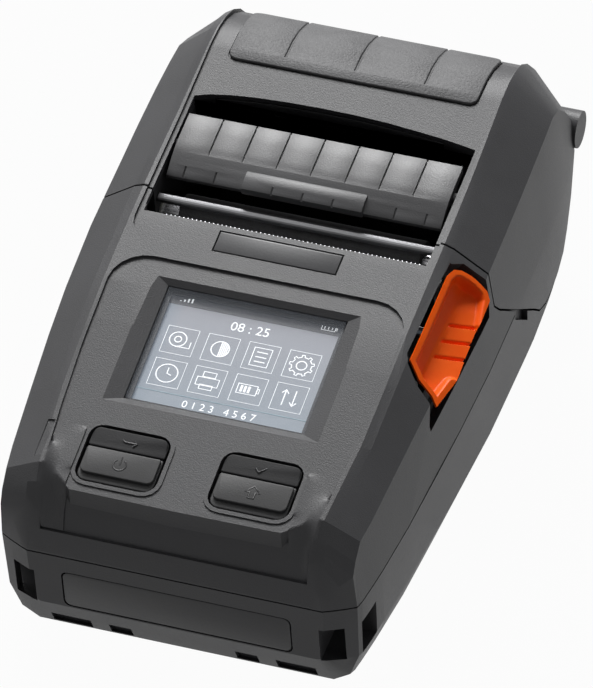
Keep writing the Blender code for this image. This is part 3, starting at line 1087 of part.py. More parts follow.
def build_electronics(case):
    front, rear = [y_at(share) for share in board_shares]
    half, low, high = BOARD
    part("main_board", block((-half, front, low), (half, rear, high)), "board")
    for x, y in [(side * x * HALF, y_at(y)) for x, y in post_places for side in (-1, 1)]:
        join(case, rod("Z", BATTERY_TOP + BATTERY_GAP + BAY_WALL / 2, low - FIT, (x, y), POST_RADIUS, 12))
    top = high + FIT
    x, y = chip_place[0] * HALF, y_at(chip_place[1])
    part("processor", block((x - CHIP[0], y - CHIP[0], top), (x + CHIP[0], y + CHIP[0], top + CHIP[1])), "black")
    x, y = radio_place[0] * HALF, y_at(radio_place[1])
    part("radio_module", block((x - RADIO[0], y - RADIO[1], top), (x + RADIO[0], y + RADIO[1], top + RADIO[2])), "steel")
    x, y = buzzer_place[0] * HALF, y_at(buzzer_place[1])
    part("buzzer", rod("Z", top, top + BUZZER_HEIGHT, (x, y), BUZZER_RADIUS, 24), "black", smooth=True)
    part("port_board", block((-PORT_BOARD_HALF, PORT_BOARD_FRONT, PORT_BOARD_LOW),
                             (PORT_BOARD_HALF, PORT_BOARD_REAR, PORT_BOARD_HIGH)), "board")
    for name, (sides, heights), look in (("usb_socket", USB, "steel"), ("power_jack", JACK, "black")):
        socket = part(name, block((sides[0], SOCKET_FRONT, heights[0]), (sides[1], SOCKET_REAR, heights[1])), look)
        if name == "usb_socket":
            cut(socket, block((sides[0] + SOCKET_WALL, SOCKET_FRONT - FIT, heights[0] + SOCKET_WALL),
                              (sides[1] - SOCKET_WALL, SOCKET_REAR - SOCKET_WALL, heights[1] - SOCKET_WALL)))
        else:
            middle = ((heights[0] + heights[1]) / 2, (sides[0] + sides[1]) / 2)
            cut(socket, rod("Y", SOCKET_FRONT - FIT, SOCKET_REAR - SOCKET_WALL, middle, SOCKET_WALL * 3, 20))
    part("port_cover", block((-PORT_HALF, FRONT, PORT_LOW), (PORT_HALF, FRONT + PORT_DEPTH, PORT_HIGH),
                             PORT_CORNER, "Y"), "rubber", (0, FRONT, PORT_LOW))
    part("battery_pack", block((-BATTERY_HALF, BATTERY_FRONT, 0), (BATTERY_HALF, BATTERY_REAR, BATTERY_TOP), PACK_EDGE),
         "black")
    latch = part("battery_latch", block((-LATCH_HALF, LATCH_FRONT, LATCH_LOW), (LATCH_HALF, LATCH_REAR, LATCH_TOP)), "grey",
                 (0, LATCH_FRONT, LATCH_LOW))
    join(latch, block((-LATCH_FLANGE_HALF, LATCH_FRONT, LATCH_LIP), (LATCH_FLANGE_HALF, LATCH_REAR, LATCH_TOP)))
    part("battery_contacts", block((-CONTACT_HALF, y_at(contact_shares[0]), CONTACT_LOW),
                                   (CONTACT_HALF, y_at(contact_shares[1]), CONTACT_HIGH)), "brass")
    for i, (x, y) in enumerate(screw_spots()):
        screw = part(f"case_screw_{i + 1}", rod("Z", SCREW_HEAD_LOW, SCREW_HEAD_HIGH, (x, y), SCREW_HEAD, 16), "steel",
                     (x, y, SCREW_HEAD_LOW))
        join(screw, rod("Z", SCREW_HEAD_HIGH - FIT, SCREW_TIP, (x, y), SCREW_SHANK, 12))


lower_case = build_lower_case()
build_upper_case()
build_lever()
build_cover()
build_flap()
build_print_train()
build_guides()
build_keys()
build_display()
build_electronics(lower_case)
part("hinge_pin", rod("X", -PIN_HALF + FIT, PIN_HALF - FIT, HINGE, PIN_RADIUS, 16), "steel", (0, *HINGE), True)

bpy.context.scene.collection.children.link(printer)
bpy.context.scene.collection.children.link(cutters)
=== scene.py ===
import json
import math

import bpy
from mathutils import Matrix, Vector
from mathutils.bvhtree import BVHTree


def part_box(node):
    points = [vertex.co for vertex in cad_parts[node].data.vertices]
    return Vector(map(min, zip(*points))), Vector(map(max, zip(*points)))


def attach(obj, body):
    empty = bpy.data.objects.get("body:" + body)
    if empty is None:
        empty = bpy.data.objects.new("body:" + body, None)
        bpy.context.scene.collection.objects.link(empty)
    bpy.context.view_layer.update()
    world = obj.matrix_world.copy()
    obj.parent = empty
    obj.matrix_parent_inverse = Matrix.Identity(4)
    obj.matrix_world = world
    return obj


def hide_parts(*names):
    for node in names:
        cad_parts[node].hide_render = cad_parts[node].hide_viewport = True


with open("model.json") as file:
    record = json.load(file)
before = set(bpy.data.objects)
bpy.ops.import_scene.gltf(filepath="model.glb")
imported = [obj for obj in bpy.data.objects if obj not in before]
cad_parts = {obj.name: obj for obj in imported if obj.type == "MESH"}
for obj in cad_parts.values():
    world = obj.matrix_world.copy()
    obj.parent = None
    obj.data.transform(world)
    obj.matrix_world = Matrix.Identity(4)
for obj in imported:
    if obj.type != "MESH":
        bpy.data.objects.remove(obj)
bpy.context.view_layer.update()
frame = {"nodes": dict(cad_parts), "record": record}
nodes = frame["nodes"]
bodies = frame["record"]["behaviour"]["bodies"]
bodyOf = {node: body for body, members in bodies.items() for node in members}
panelTurn = math.radians(8.5012)
panelPlace = Vector((0, -0.033795, 0.057298))
panelMatrix = Matrix.Translation(panelPlace) @ Matrix.Rotation(panelTurn, 4, "X")
aboveAll = 0.1
deckMesh = nodes["upper_case"].data
deckTree = BVHTree.FromPolygons([v.co for v in deckMesh.vertices], [p.vertices[:] for p in deckMesh.polygons])
print("frame loaded:", len(nodes), "nodes")


def deckHeight(x, y):
    return deckTree.ray_cast((x, y, aboveAll), (0, 0, -1))[0].z


# shader maths: the operators build Math nodes
class Shade:
    def __init__(self, tree, out):
        self.tree = tree
        self.out = out

    def maths(self, operation, other, flipped=False):
        node = self.tree.nodes.new("ShaderNodeMath")
        node.operation = operation
        pair = (other, self) if flipped else (self, other)
        for place, item in zip(node.inputs, pair):
            if isinstance(item, Shade):
                self.tree.links.new(item.out, place)
            else:
                place.default_value = item
        return Shade(self.tree, node.outputs[0])

    def __add__(self, other):
        return self.maths("ADD", other)

    def __sub__(self, other):
        return self.maths("SUBTRACT", other)

    def __rsub__(self, other):
        return self.maths("SUBTRACT", other, True)

    def __mul__(self, other):
        return self.maths("MULTIPLY", other)

    def __gt__(self, other):
        return self.maths("GREATER_THAN", other)

    def __lt__(self, other):
        return self.maths("LESS_THAN", other)

    __radd__ = __add__


class Finish:
    def __init__(self, name):
        self.material = bpy.data.materials.new(name)
        self.material.use_nodes = True
        self.tree = self.material.node_tree
        self.tree.nodes.clear()
        self.place = self.add("ShaderNodeTexCoord", output="Object")

    def add(self, kind, settings=None, inputs=None, output=0):
        node = self.tree.nodes.new(kind)
        for key, value in (settings or {}).items():
            if key == "stops":
                ramp = node.color_ramp.elements
                for element, (spot, grey) in zip(ramp, value):
                    element.position = spot
                    element.color = (grey, grey, grey, 1)
            else:
                setattr(node, key, value)
        for key, value in (inputs or {}).items():
            socket = node.inputs[key]
            if isinstance(value, Shade):
                self.tree.links.new(value.out, socket)
            else:
                socket.default_value = value
        return Shade(self.tree, node.outputs[output])

    def noise(self, size, detail=2.0, stretch=None):
        place = self.place
        if stretch:
            place = self.add("ShaderNodeMapping", None, {"Vector": place, "Scale": stretch})
        return self.add("ShaderNodeTexNoise", None,
                        {"Vector": place, "Scale": 1 / size, "Detail": detail, "Roughness": 0.6})

    def ramp(self, value, low, high):
        return self.add("ShaderNodeValToRGB", {"stops": ((low, 0), (high, 1))}, {"Fac": value})

    def blend(self, share, first, second):
        return self.add("ShaderNodeMix", {"data_type": "RGBA"}, {0: share, 6: first, 7: second}, 2)

    def bump(self, height, depth):
        return self.add("ShaderNodeBump", None, {"Height": height, "Distance": depth, "Strength": 1.0})

    def surface(self, **sockets):
        shader = self.tree.nodes.new("ShaderNodeBsdfPrincipled")
        for key, value in sockets.items():
            socket = shader.inputs[key.replace("_", " ")]
            if isinstance(value, Shade):
                self.tree.links.new(value.out, socket)
            else:
                socket.default_value = value
        end = self.tree.nodes.new("ShaderNodeOutputMaterial")
        self.tree.links.new(shader.outputs[0], end.inputs["Surface"])
        return self.material


def solid(colour):
    return (*colour, 1)


def mouldedPlastic(name, look, bay=None):
    finish = Finish(name)
    grain = finish.noise(look["grain"], 2.0)
    cloud = finish.noise(look["cloud"], 3.0)
    share = finish.ramp(cloud * 0.75 + grain * 0.25, 0.35, 0.65)
    colour = finish.blend(share, solid(look["dark"]), solid(look["light"]))
    rough = look["rough"] + (cloud - 0.5) * look["roughVary"] + (grain - 0.5) * look["roughGrain"]
    # painted shade: inside the bay box the colour is blended to near black
    if bay:
        x, y, z = [finish.add("ShaderNodeSeparateXYZ", None, {"Vector": finish.place}, axis) for axis in range(3)]
        side = finish.add("ShaderNodeMath", {"operation": "ABSOLUTE"}, {0: x})
        inside = (side < bay["half"]) * (y > bay["front"]) * (y < bay["rear"]) * (z < bay["top"])
        colour = finish.blend(inside, colour, solid(bay["black"]))
        rough = rough + inside * bay["rougher"]
    return finish.surface(Base_Color=colour, Roughness=rough, Specular_IOR_Level=look["shine"],
                          Normal=finish.bump(grain, look["depth"]))


def metal(name, look):
    finish = Finish(name)
    lines = finish.noise(look["grain"], 3.0, look["stretch"])
    cloud = finish.noise(look["cloud"], 2.0)
    colour = finish.blend(cloud, solid(look["dark"]), solid(look["light"]))
    rough = look["rough"] + (lines - 0.5) * look["roughVary"]
    return finish.surface(Base_Color=colour, Metallic=1.0, Roughness=rough,
                          Normal=finish.bump(lines, look["depth"]))


charcoalLook = {"grain": 0.00033, "cloud": 0.020, "dark": (0.024, 0.024, 0.026), "light": (0.034, 0.034, 0.037),
                "rough": 0.47, "roughVary": 0.10, "roughGrain": 0.16, "shine": 0.32, "depth": 0.00006}
orangeLook = {"grain": 0.0012, "cloud": 0.012, "dark": (0.96, 0.100, 0.002), "light": (1.0, 0.135, 0.004),
              "rough": 0.42, "roughVary": 0.10, "roughGrain": 0.06, "shine": 0.15, "depth": 0.000015}
blackLook = {"grain": 0.0005, "cloud": 0.015, "dark": (0.012, 0.012, 0.013), "light": (0.022, 0.022, 0.024),
             "rough": 0.45, "roughVary": 0.12, "roughGrain": 0.08, "shine": 0.4, "depth": 0.00003}
greyLook = {"grain": 0.0006, "cloud": 0.010, "dark": (0.13, 0.13, 0.135), "light": (0.18, 0.18, 0.185),
            "rough": 0.42, "roughVary": 0.12, "roughGrain": 0.08, "shine": 0.4, "depth": 0.00002}
keyLook = {"grain": 0.0003, "cloud": 0.008, "dark": (0.026, 0.026, 0.027), "light": (0.037, 0.037, 0.038),
           "rough": 0.55, "roughVary": 0.08, "roughGrain": 0.14, "shine": 0.3, "depth": 0.00004}
flapLook = {"grain": 0.00033, "cloud": 0.012, "dark": (0.036, 0.036, 0.038), "light": (0.050, 0.050, 0.053),
            "rough": 0.46, "roughVary": 0.10, "roughGrain": 0.14, "shine": 0.45, "depth": 0.00005}
acetalLook = {"grain": 0.0009, "cloud": 0.006, "dark": (0.66, 0.65, 0.60), "light": (0.76, 0.75, 0.71),
              "rough": 0.38, "roughVary": 0.10, "roughGrain": 0.06, "shine": 0.5, "depth": 0.00001}
rubberLook = {"grain": 0.00055, "cloud": 0.010, "dark": (0.032, 0.032, 0.034), "light": (0.080, 0.080, 0.083),
              "rough": 0.62, "roughVary": 0.12, "roughGrain": 0.24, "shine": 0.5, "depth": 0.00016}
canLook = {"grain": 0.0007, "cloud": 0.010, "dark": (0.022, 0.022, 0.024), "light": (0.036, 0.036, 0.038),
           "rough": 0.35, "roughVary": 0.12, "roughGrain": 0.06, "shine": 0.5, "depth": 0.00002}
lightLook = {"grain": 0.0008, "cloud": 0.004, "dark": (0.05, 0.05, 0.052), "light": (0.09, 0.09, 0.093),
             "rough": 0.28, "roughVary": 0.08, "roughGrain": 0.05, "shine": 0.5, "depth": 0.00001}
steelLook = {"grain": 0.0004, "cloud": 0.010, "dark": (0.50, 0.50, 0.52), "light": (0.64, 0.64, 0.66),
             "rough": 0.26, "roughVary": 0.16, "stretch": (0.06, 1, 1), "depth": 0.000008}
aluminiumLook = {"grain": 0.0004, "cloud": 0.010, "dark": (0.58, 0.59, 0.61), "light": (0.70, 0.71, 0.73),
                 "rough": 0.34, "roughVary": 0.18, "stretch": (1, 0.08, 1), "depth": 0.00001}
brassLook = {"grain": 0.0004, "cloud": 0.006, "dark": (0.60, 0.42, 0.16), "light": (0.76, 0.58, 0.27),
             "rough": 0.30, "roughVary": 0.16, "stretch": (0.10, 1, 1), "depth": 0.000008}

# painted shade: the shells turn near black and rougher inside the label bay, a darkening put where shade falls in the
# recess
bayShadeLook = {"half": 0.0343, "front": 0.0012, "rear": 0.0425, "top": 0.0598, "black": (0.004, 0.004, 0.0045),
           "rougher": 0.2}
charcoal = mouldedPlastic("charcoalShell", charcoalLook, bayShadeLook)
orange = mouldedPlastic("orangeLever", orangeLook)
black = mouldedPlastic("blackPlastic", blackLook)
grey = mouldedPlastic("greyPlastic", greyLook)
keyFace = mouldedPlastic("keyFace", keyLook)
flapFace = mouldedPlastic("flapFace", flapLook)
badgeFace = mouldedPlastic("badgeFace", {**charcoalLook, "grain": 0.0005, "rough": 0.42, "depth": 0.00002})
# painted shade: the upper keys get a darker copy of the key plastic, standing for the shade on their tilted tops
keyPaintedShade = mouldedPlastic("keyPaintedShade", {**keyLook, "dark": (0.008, 0.008, 0.009), "light": (0.014, 0.014, 0.015),
                                     "shine": 0.18})
acetal = mouldedPlastic("naturalAcetal", acetalLook)
rubber = mouldedPlastic("blackRubber", rubberLook)
canPaint = mouldedPlastic("motorCan", canLook)
lightPipe = mouldedPlastic("lightPipe", lightLook)
steel = metal("plainSteel", steelLook)
combSteel = metal("combSteel", {**steelLook, "dark": (0.20, 0.20, 0.205), "light": (0.30, 0.30, 0.31), "rough": 0.42})
darkSteel = metal("darkSteel", {**steelLook, "dark": (0.16, 0.16, 0.165), "light": (0.24, 0.24, 0.25), "rough": 0.36})
aluminium = metal("milledAluminium", aluminiumLook)
brass = metal("turnedBrass", brassLook)


def greenBoard():
    finish = Finish("greenBoard")
    tracks = finish.add("ShaderNodeTexBrick", None, {"Vector": finish.place, "Scale": 420.0, "Mortar Size": 0.05,
                                                      "Color1": (0, 0, 0, 1), "Color2": (0.2, 0.2, 0.2, 1),
                                                      "Mortar": (1, 1, 1, 1)})
    cloud = finish.noise(0.006)
    colour = finish.blend(tracks * 0.6 + cloud * 0.4, solid((0.008, 0.07, 0.028)), solid((0.03, 0.19, 0.085)))
    return finish.surface(Base_Color=colour, Roughness=0.26 + cloud * 0.14, Normal=finish.bump(tracks, 0.00002))


def litScreen(look):
    finish = Finish("litScreen")
    x, y = [finish.add("ShaderNodeSeparateXYZ", None, {"Vector": finish.place}, axis) for axis in (0, 1)]
    down = (look["rear"] - y) * (1 / look["length"])            # 0 at the screen's top, 1 at its foot
    across = (x + look["half"]) * (0.5 / look["half"])
    haze = finish.noise(0.012)
    glow = finish.blend(finish.ramp(down + (haze - 0.5) * 0.08, 0.05, 1.0), solid(look["top"]), solid(look["foot"]))
    tint = finish.blend(finish.ramp(across, 0.0, 0.12), solid(look["edge"]), glow)
    dots = finish.noise(0.0002, 1.0)
    return finish.surface(Base_Color=finish.blend(dots * 0.25, tint, solid(look["dot"])), Roughness=0.35 + haze * 0.1,
                          Emission_Color=tint, Emission_Strength=look["light"])


def clearWindow():
    finish = Finish("clearWindow")
    haze = finish.noise(0.015)
    return finish.surface(Base_Color=finish.blend(haze, solid((0.30, 0.33, 0.38)), solid((0.40, 0.43, 0.48))),
                          Roughness=0.03 + haze * 0.03, Alpha=0.10 + haze * 0.02, Specular_IOR_Level=0.6)


screenLook = {"rear": -0.0185, "length": 0.0325, "half": 0.0215, "top": (0.30, 0.305, 0.34),
              "foot": (0.26, 0.31, 0.36), "edge": (0.22, 0.27, 0.33), "dot": (0.20, 0.21, 0.24), "light": 0.33}
board = greenBoard()
screenGlow = litScreen(screenLook)
windowClear = clearWindow()


def inkFinish(name, dark, light, glow, rough):
    finish = Finish(name)
    cloud = finish.noise(0.003)
    colour = finish.blend(cloud, solid(dark), solid(light))
    return finish.surface(Base_Color=colour, Roughness=rough + cloud * 0.1, Emission_Color=colour,
                          Emission_Strength=glow)


iconInk = inkFinish("iconInk", (0.78, 0.80, 0.82), (0.90, 0.92, 0.94), 0.85, 0.5)
stripInk = inkFinish("stripInk", (0.045, 0.045, 0.05), (0.075, 0.075, 0.082), 0.3, 0.4)
lineInk = inkFinish("lineInk", (0.24, 0.40, 0.46), (0.30, 0.46, 0.52), 0.3, 0.4)
symbolInk = mouldedPlastic("symbolFace", {**keyLook, "dark": (0.012, 0.012, 0.013), "light": (0.022, 0.022, 0.024),
                                          "rough": 0.35})
print("finishes made")

finishOf = {
    "lower_case": charcoal, "upper_case": charcoal, "release_lever": orange, "lever_pin": steel,
    "media_cover": charcoal, "cover_pad": rubber, "bay_flap": flapFace, "peel_bar": darkSteel,
    "platen_shaft": steel, "platen_roller": rubber, "platen_gear": acetal, "platen_bush_left": acetal,
    "platen_bush_right": acetal, "idler_gear": acetal, "motor_pinion": brass, "drive_motor": canPaint,
    "print_chassis": black, "print_head": aluminium, "tear_bar": combSteel, "latch_shaft": steel,
    "media_guide_left": black, "media_guide_right": black, "guide_pinion": acetal,
    # painted shade: the upper keys take the darker copy of the key finish
    "key_upper_left": keyPaintedShade, "key_lower_left": keyFace, "key_upper_right": keyPaintedShade, "key_lower_right": keyFace,
    "key_mat": rubber, "key_board": board, "display_lens": windowClear, "display_module": screenGlow,
    "status_light": lightPipe, "badge_plate": badgeFace, "main_board": board, "processor": black,
    "radio_module": aluminium, "buzzer": black, "port_board": board, "usb_socket": steel, "power_jack": black,
    "port_cover": black, "battery_pack": black, "battery_latch": grey, "battery_contacts": brass,
    "case_screw_1": steel, "case_screw_2": steel, "case_screw_3": steel, "case_screw_4": steel, "hinge_pin": steel,
}
for node, finish in finishOf.items():
    for place in nodes[node].material_slots:
        place.material = finish


# helpers for choosing, drawing and joining pieces
def clearChoice():
    if bpy.context.object and bpy.context.object.mode != "OBJECT":
        bpy.ops.object.mode_set(mode="OBJECT")
    bpy.ops.object.select_all(action="DESELECT")


def choose(piece):
    clearChoice()
    piece.select_set(True)
    bpy.context.view_layer.objects.active = piece


def applied(piece, kind, **settings):
    choose(piece)
    step = piece.modifiers.new(kind.lower(), kind)
    for key, value in settings.items():
        setattr(step, key, value)
    bpy.ops.object.modifier_apply(modifier=step.name)


def settled(piece, finish, body):
    choose(piece)
    bpy.ops.object.transform_apply(location=True, rotation=True, scale=True)
    piece.data.materials.clear()
    piece.data.materials.append(finish)
    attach(piece, body)
    return piece


def drawn(name, outline, axis, start, end):
    clearChoice()
    bpy.ops.mesh.primitive_circle_add(vertices=len(outline), radius=0.01, fill_type="NGON")
    piece = bpy.context.object
    piece.name = name
    for vertex, (a, b) in zip(piece.data.vertices, outline):
        vertex.co = {"X": (start, a, b), "Y": (a, start, b), "Z": (a, b, start)}[axis]
    step = [end - start if axis == letter else 0 for letter in "XYZ"]
    bpy.ops.object.mode_set(mode="EDIT")
    bpy.ops.mesh.select_all(action="SELECT")
    bpy.ops.mesh.extrude_region_move(TRANSFORM_OT_translate={"value": step})
    bpy.ops.mesh.select_all(action="SELECT")
    bpy.ops.mesh.normals_make_consistent(inside=False)
    bpy.ops.object.mode_set(mode="OBJECT")
    return piece


def merged(parts):
    clearChoice()
    for part in parts:
        part.select_set(True)
    bpy.context.view_layer.objects.active = parts[0]
    bpy.ops.object.join()
    return bpy.context.object


def boolean(piece, other, operation):
    applied(piece, "BOOLEAN", operation=operation, solver="EXACT", object=other)
    bpy.data.objects.remove(other)


def crisp(piece, look):
    choose(piece)
    bpy.ops.object.shade_smooth()
    applied(piece, "BEVEL", width=look["edge"], segments=2, limit_method="ANGLE",
            angle_limit=math.radians(look["angle"]), use_clamp_overlap=True, harden_normals=False)
    applied(piece, "WEIGHTED_NORMAL", mode="FACE_AREA", weight=80, keep_sharp=False)


def edged(piece, width, angle, smooth, segments=2):
    applied(piece, "BEVEL", width=width, segments=segments, limit_method="ANGLE", angle_limit=math.radians(angle),
            use_clamp_overlap=True)
    choose(piece)
    bpy.ops.object.shade_smooth_by_angle(angle=math.radians(smooth))


def copied(node, name):
    piece = bpy.data.objects.new(name, nodes[node].data.copy())
    bpy.context.scene.collection.objects.link(piece)
    choose(piece)
    bpy.ops.object.mode_set(mode="EDIT")
    bpy.ops.mesh.select_all(action="SELECT")
    bpy.ops.mesh.remove_doubles(threshold=0.000002)
    bpy.ops.mesh.dissolve_limited(angle_limit=math.radians(0.4))
    bpy.ops.object.mode_set(mode="OBJECT")
    return piece


def standsFor(piece, node):
    settled(piece, finishOf[node], bodyOf[node])
    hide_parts(node)
    return piece


shellSoft = {"edge": 0.00020, "angle": 17}
fineSoft = {"edge": 0.00018, "angle": 28, "smooth": 35}
for node, name in (("port_cover", "port_door"), ("badge_plate", "badge_blank")):
    piece = copied(node, name)
    edged(piece, fineSoft["edge"], fineSoft["angle"], fineSoft["smooth"])
    standsFor(piece, node)
lower = copied("lower_case", "lower_shell")
crisp(lower, shellSoft)
standsFor(lower, "lower_case")
print("edges softened")

# upper shell with its mouth, and the cover with its arched opening
mouthLook = {"half": 0.0339, "front": 0.0015, "rear": 0.0052, "low": 0.0578, "high": 0.07}
upper = copied("upper_case", "upper_shell")
mouthOutline = [(-mouthLook["half"], mouthLook["front"]), (mouthLook["half"], mouthLook["front"]),
                (mouthLook["half"], mouthLook["rear"]), (-mouthLook["half"], mouthLook["rear"])]
boolean(upper, drawn("mouth_cut", mouthOutline, "Z", mouthLook["low"], mouthLook["high"]), "DIFFERENCE")

# the lever lies on the shoulder: its outline is in lengths along the case (y) and down the slope (c)
leverLook = {"slope": math.radians(39), "corner": (0.0486, 0.0652), "limit": 0.0485, "thick": 0.0005,
             "well": (-0.0195, -0.0118), "wellGrow": 1.01, "wellShift": 0.0001, "front": -0.03105, "length": 0.03590,
             "along": 150, "across": 60, "rim": 0.0012, "wall": 0.0013, "open": 0.0086,
             "deep": 0.0030, "valley": 0.0022, "crest": 0.0096, "climb": 0.85, "inner": -0.0030, "innerRun": 0.0045,
             "groove": 0.0011, "grooveDeep": 0.00080, "step": 0.0046, "stepDeep": 0.00030,
             "edge": 0.0105, "edgeRun": 0.0010, "smooth": 38}
leverOutline = [(-0.0250, -0.0032), (-0.0280, 0.0009), (-0.0294, 0.0051), (-0.0311, 0.0073), (-0.0231, 0.0087),
                (-0.0152, 0.0098), (-0.0047, 0.0096), (0.0024, 0.0078), (0.0041, 0.0063), (0.0048, 0.0033),
                (0.0049, 0.0013), (0.0044, -0.0014), (0.0032, -0.0032), (0.0007, -0.0040)]
leverCorner = Matrix.Translation((leverLook["corner"][0], 0, leverLook["corner"][1]))
leverSlope = Matrix.Rotation(leverLook["slope"], 4, "Y")

# a well under the lever leaves it room to tip
wellOutline = [(c * leverLook["wellGrow"], y * leverLook["wellGrow"] + leverLook["wellShift"])
               for y, c in leverOutline]
leverWell = drawn("lever_well", wellOutline, "Z", *leverLook["well"])
leverWell.matrix_world = leverCorner @ leverSlope
boolean(upper, leverWell, "DIFFERENCE")

# the light slot moves to the recess edge: the old one is filled and a new one cut
slotLook = {"grow": (2.0, 1.08), "left": -0.03055, "right": -0.02995, "ends": (-0.0755, -0.0662), "steps": 8,
            "probe": 0.0003, "sunk": 0.0004, "deep": 0.0016, "over": 0.002, "floor": 0.0001, "gap": 0.00008,
            "edge": 0.00006}
oldSlot = copied("status_light", "slot_fill")
middle = (Vector(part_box("status_light")[0]) + Vector(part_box("status_light")[1])) / 2
for vertex in oldSlot.data.vertices:
    vertex.co.x = middle.x + (vertex.co.x - middle.x) * slotLook["grow"][0]
    vertex.co.y = middle.y + (vertex.co.y - middle.y) * slotLook["grow"][1]
boolean(upper, oldSlot, "UNION")
slotTop = []
for i in range(slotLook["steps"] + 1):
    y = slotLook["ends"][0] + (slotLook["ends"][1] - slotLook["ends"][0]) * i / slotLook["steps"]
    slotTop.append((y, deckHeight(slotLook["left"] + slotLook["probe"], y)))
slotCut = [(y, z - slotLook["deep"]) for y, z in slotTop] + [(y, z + slotLook["over"]) for y, z in slotTop[::-1]]
boolean(upper, drawn("slot_cut", slotCut, "X", slotLook["left"], slotLook["right"]), "DIFFERENCE")
crisp(upper, shellSoft)
standsFor(upper, "upper_case")
pipeFoot = [(y, z - slotLook["deep"] + slotLook["floor"]) for y, z in slotTop[1:-1]]
pipeTop = [(y, z - slotLook["sunk"]) for y, z in slotTop[1:-1]]
light = drawn("light_slot", pipeFoot + pipeTop[::-1], "X", slotLook["left"] + slotLook["gap"],
              slotLook["right"] - slotLook["gap"])
edged(light, slotLook["edge"], 40, 30)
standsFor(light, "status_light")

archLook = {"half": 0.0340, "front": 0.034, "low": 0.0570, "high": 0.067, "liner": 0.0009, "linerLow": 0.0440,
            "linerHigh": 0.0616, "edge": 0.0001}
archLine = [(-0.0340, 0.0379), (-0.0310, 0.0390), (-0.0260, 0.0400), (-0.0200, 0.0407), (-0.0120, 0.04115),
            (-0.0040, 0.0413), (0.0040, 0.0412), (0.0120, 0.0408), (0.0200, 0.0400), (0.0260, 0.0393),
            (0.0310, 0.0385), (0.0340, 0.0379)]
cover = copied("media_cover", "cover_shell")
archFront = [(archLook["half"], archLook["front"]), (-archLook["half"], archLook["front"])]
boolean(cover, drawn("arch_cut", archLine + archFront, "Z", archLook["low"], archLook["high"]), "DIFFERENCE")
crisp(cover, shellSoft)
standsFor(cover, "media_cover")
linerBack = [(x, y + archLook["liner"]) for x, y in archLine[::-1]]
liner = drawn("bay_liner", archLine + linerBack, "Z", archLook["linerLow"], archLook["linerHigh"])
edged(liner, archLook["edge"], 50, 30)
settled(liner, black, "cover")
print("shells shaped")

# flap over the label bay
flapLines = {"half": 0.0331, "pinHalf": 0.0354, "pin": 0.0011, "pivot": (0.0247, 0.0602), "tab": 0.0145,
             "long": (0.0, 0.0083, 0.0165, 0.0247), "short": (0.0217, 0.0291),
             "tabLines": (0.0, 0.0073), "line": 0.00042,
             "edge": 0.00016}
flapOutline = [(0.0317, 0.0634), (0.0270, 0.06315), (0.0235, 0.06286), (0.0217, 0.06262), (0.0204, 0.06228),
               (0.0190, 0.06175), (0.0175, 0.06113), (0.0160, 0.06048), (0.0151, 0.06005), (0.0147, 0.05968),
               (0.0147, 0.0588), (0.0151, 0.0585), (0.0176, 0.0594), (0.0207, 0.0607), (0.0234, 0.0594),
               (0.0260, 0.0594), (0.0279, 0.0612), (0.0316, 0.0616)]
flap = drawn("flap_panel", flapOutline, "X", -flapLines["half"], flapLines["half"])
tabOutline = [(0.0184, 0.0622), (0.0176, 0.06235), (0.0160, 0.0622), (0.0143, 0.0616), (0.0136, 0.0612),
              (0.0135, 0.0606), (0.0135, 0.0596), (0.0140, 0.0592), (0.0180, 0.0598)]
boolean(flap, drawn("flap_tab", tabOutline, "X", -flapLines["tab"], flapLines["tab"]), "UNION")
clearChoice()
bpy.ops.mesh.primitive_cylinder_add(vertices=24, radius=flapLines["pin"], depth=2 * flapLines["pinHalf"],
                                    location=(0, *flapLines["pivot"]), rotation=(0, math.pi / 2, 0))
pin = bpy.context.object
bpy.ops.object.transform_apply(location=True, rotation=True, scale=True)
boolean(flap, pin, "UNION")
width = flapLines["line"] / 2
longCut = [(0.0206, 0.0640), (0.0206, 0.06215), (0.0210, 0.06212), (0.0330, 0.06285), (0.0330, 0.0650)]
shortCut = [(0.0140, 0.0592), (0.0172, 0.06062), (0.0174, 0.0622), (0.0140, 0.0622)]
tabCut = [(0.0128, 0.0600), (0.0139, 0.0611), (0.0152, 0.06165), (0.0152, 0.0632), (0.0128, 0.0632)]
cutters = []
for kind, outline in (("long", longCut), ("short", shortCut), ("tabLines", tabCut)):
    for x in [side * place for place in flapLines[kind] for side in ((-1, 1) if place else (1,))]:
        cutters.append(drawn("groove", outline, "X", x - width, x + width))
boolean(flap, merged(cutters), "DIFFERENCE")
edged(flap, flapLines["edge"], 40, 32)
standsFor(flap, "bay_flap")
print("flap shaped")

# pad on the cover
padLook = {"lines": (-0.0170, 0.0, 0.0170), "width": 0.00055, "depth": 0.0004, "over": 0.003, "edge": 0.0003}
padTop = [(0.0535, 0.06512), (0.0560, 0.06508), (0.0590, 0.06501), (0.0605, 0.0647), (0.0640, 0.06387),
          (0.0660, 0.06294), (0.0690, 0.06151), (0.0700, 0.06079), (0.0720, 0.0590)]
pad = copied("cover_pad", "pad_grip")
under = [(y, z - padLook["depth"]) for y, z in padTop]
over = [(y, z + padLook["over"]) for y, z in padTop[::-1]]
width = padLook["width"] / 2
cutters = [drawn("groove", under + over, "X", x - width, x + width) for x in padLook["lines"]]
boolean(pad, merged(cutters), "DIFFERENCE")
edged(pad, padLook["edge"], 40, 50)
standsFor(pad, "cover_pad")
print("pad shaped")

# lever: a scooped finger grip on the shoulder
leverRise = [(-0.032, -0.01232), (-0.028, -0.01204), (-0.024, -0.01173), (-0.018, -0.01116), (-0.012, -0.01074),
             (-0.006, -0.01031), (-0.002, -0.01001), (0.002, -0.00982), (0.006, -0.00958)]
leverSteps = [(-0.0085, 0.42), (-0.0134, 0.42), (-0.0182, 0.40)]
leverDown = Vector((math.sin(leverLook["slope"]), 0, math.cos(leverLook["slope"]))) * -leverLook["thick"]


def between(table, spot):
    for (a, first), (b, second) in zip(table, table[1:]):
        if spot <= b:
            return first + (second - first) * (spot - a) / (b - a)
    return table[-1][1]


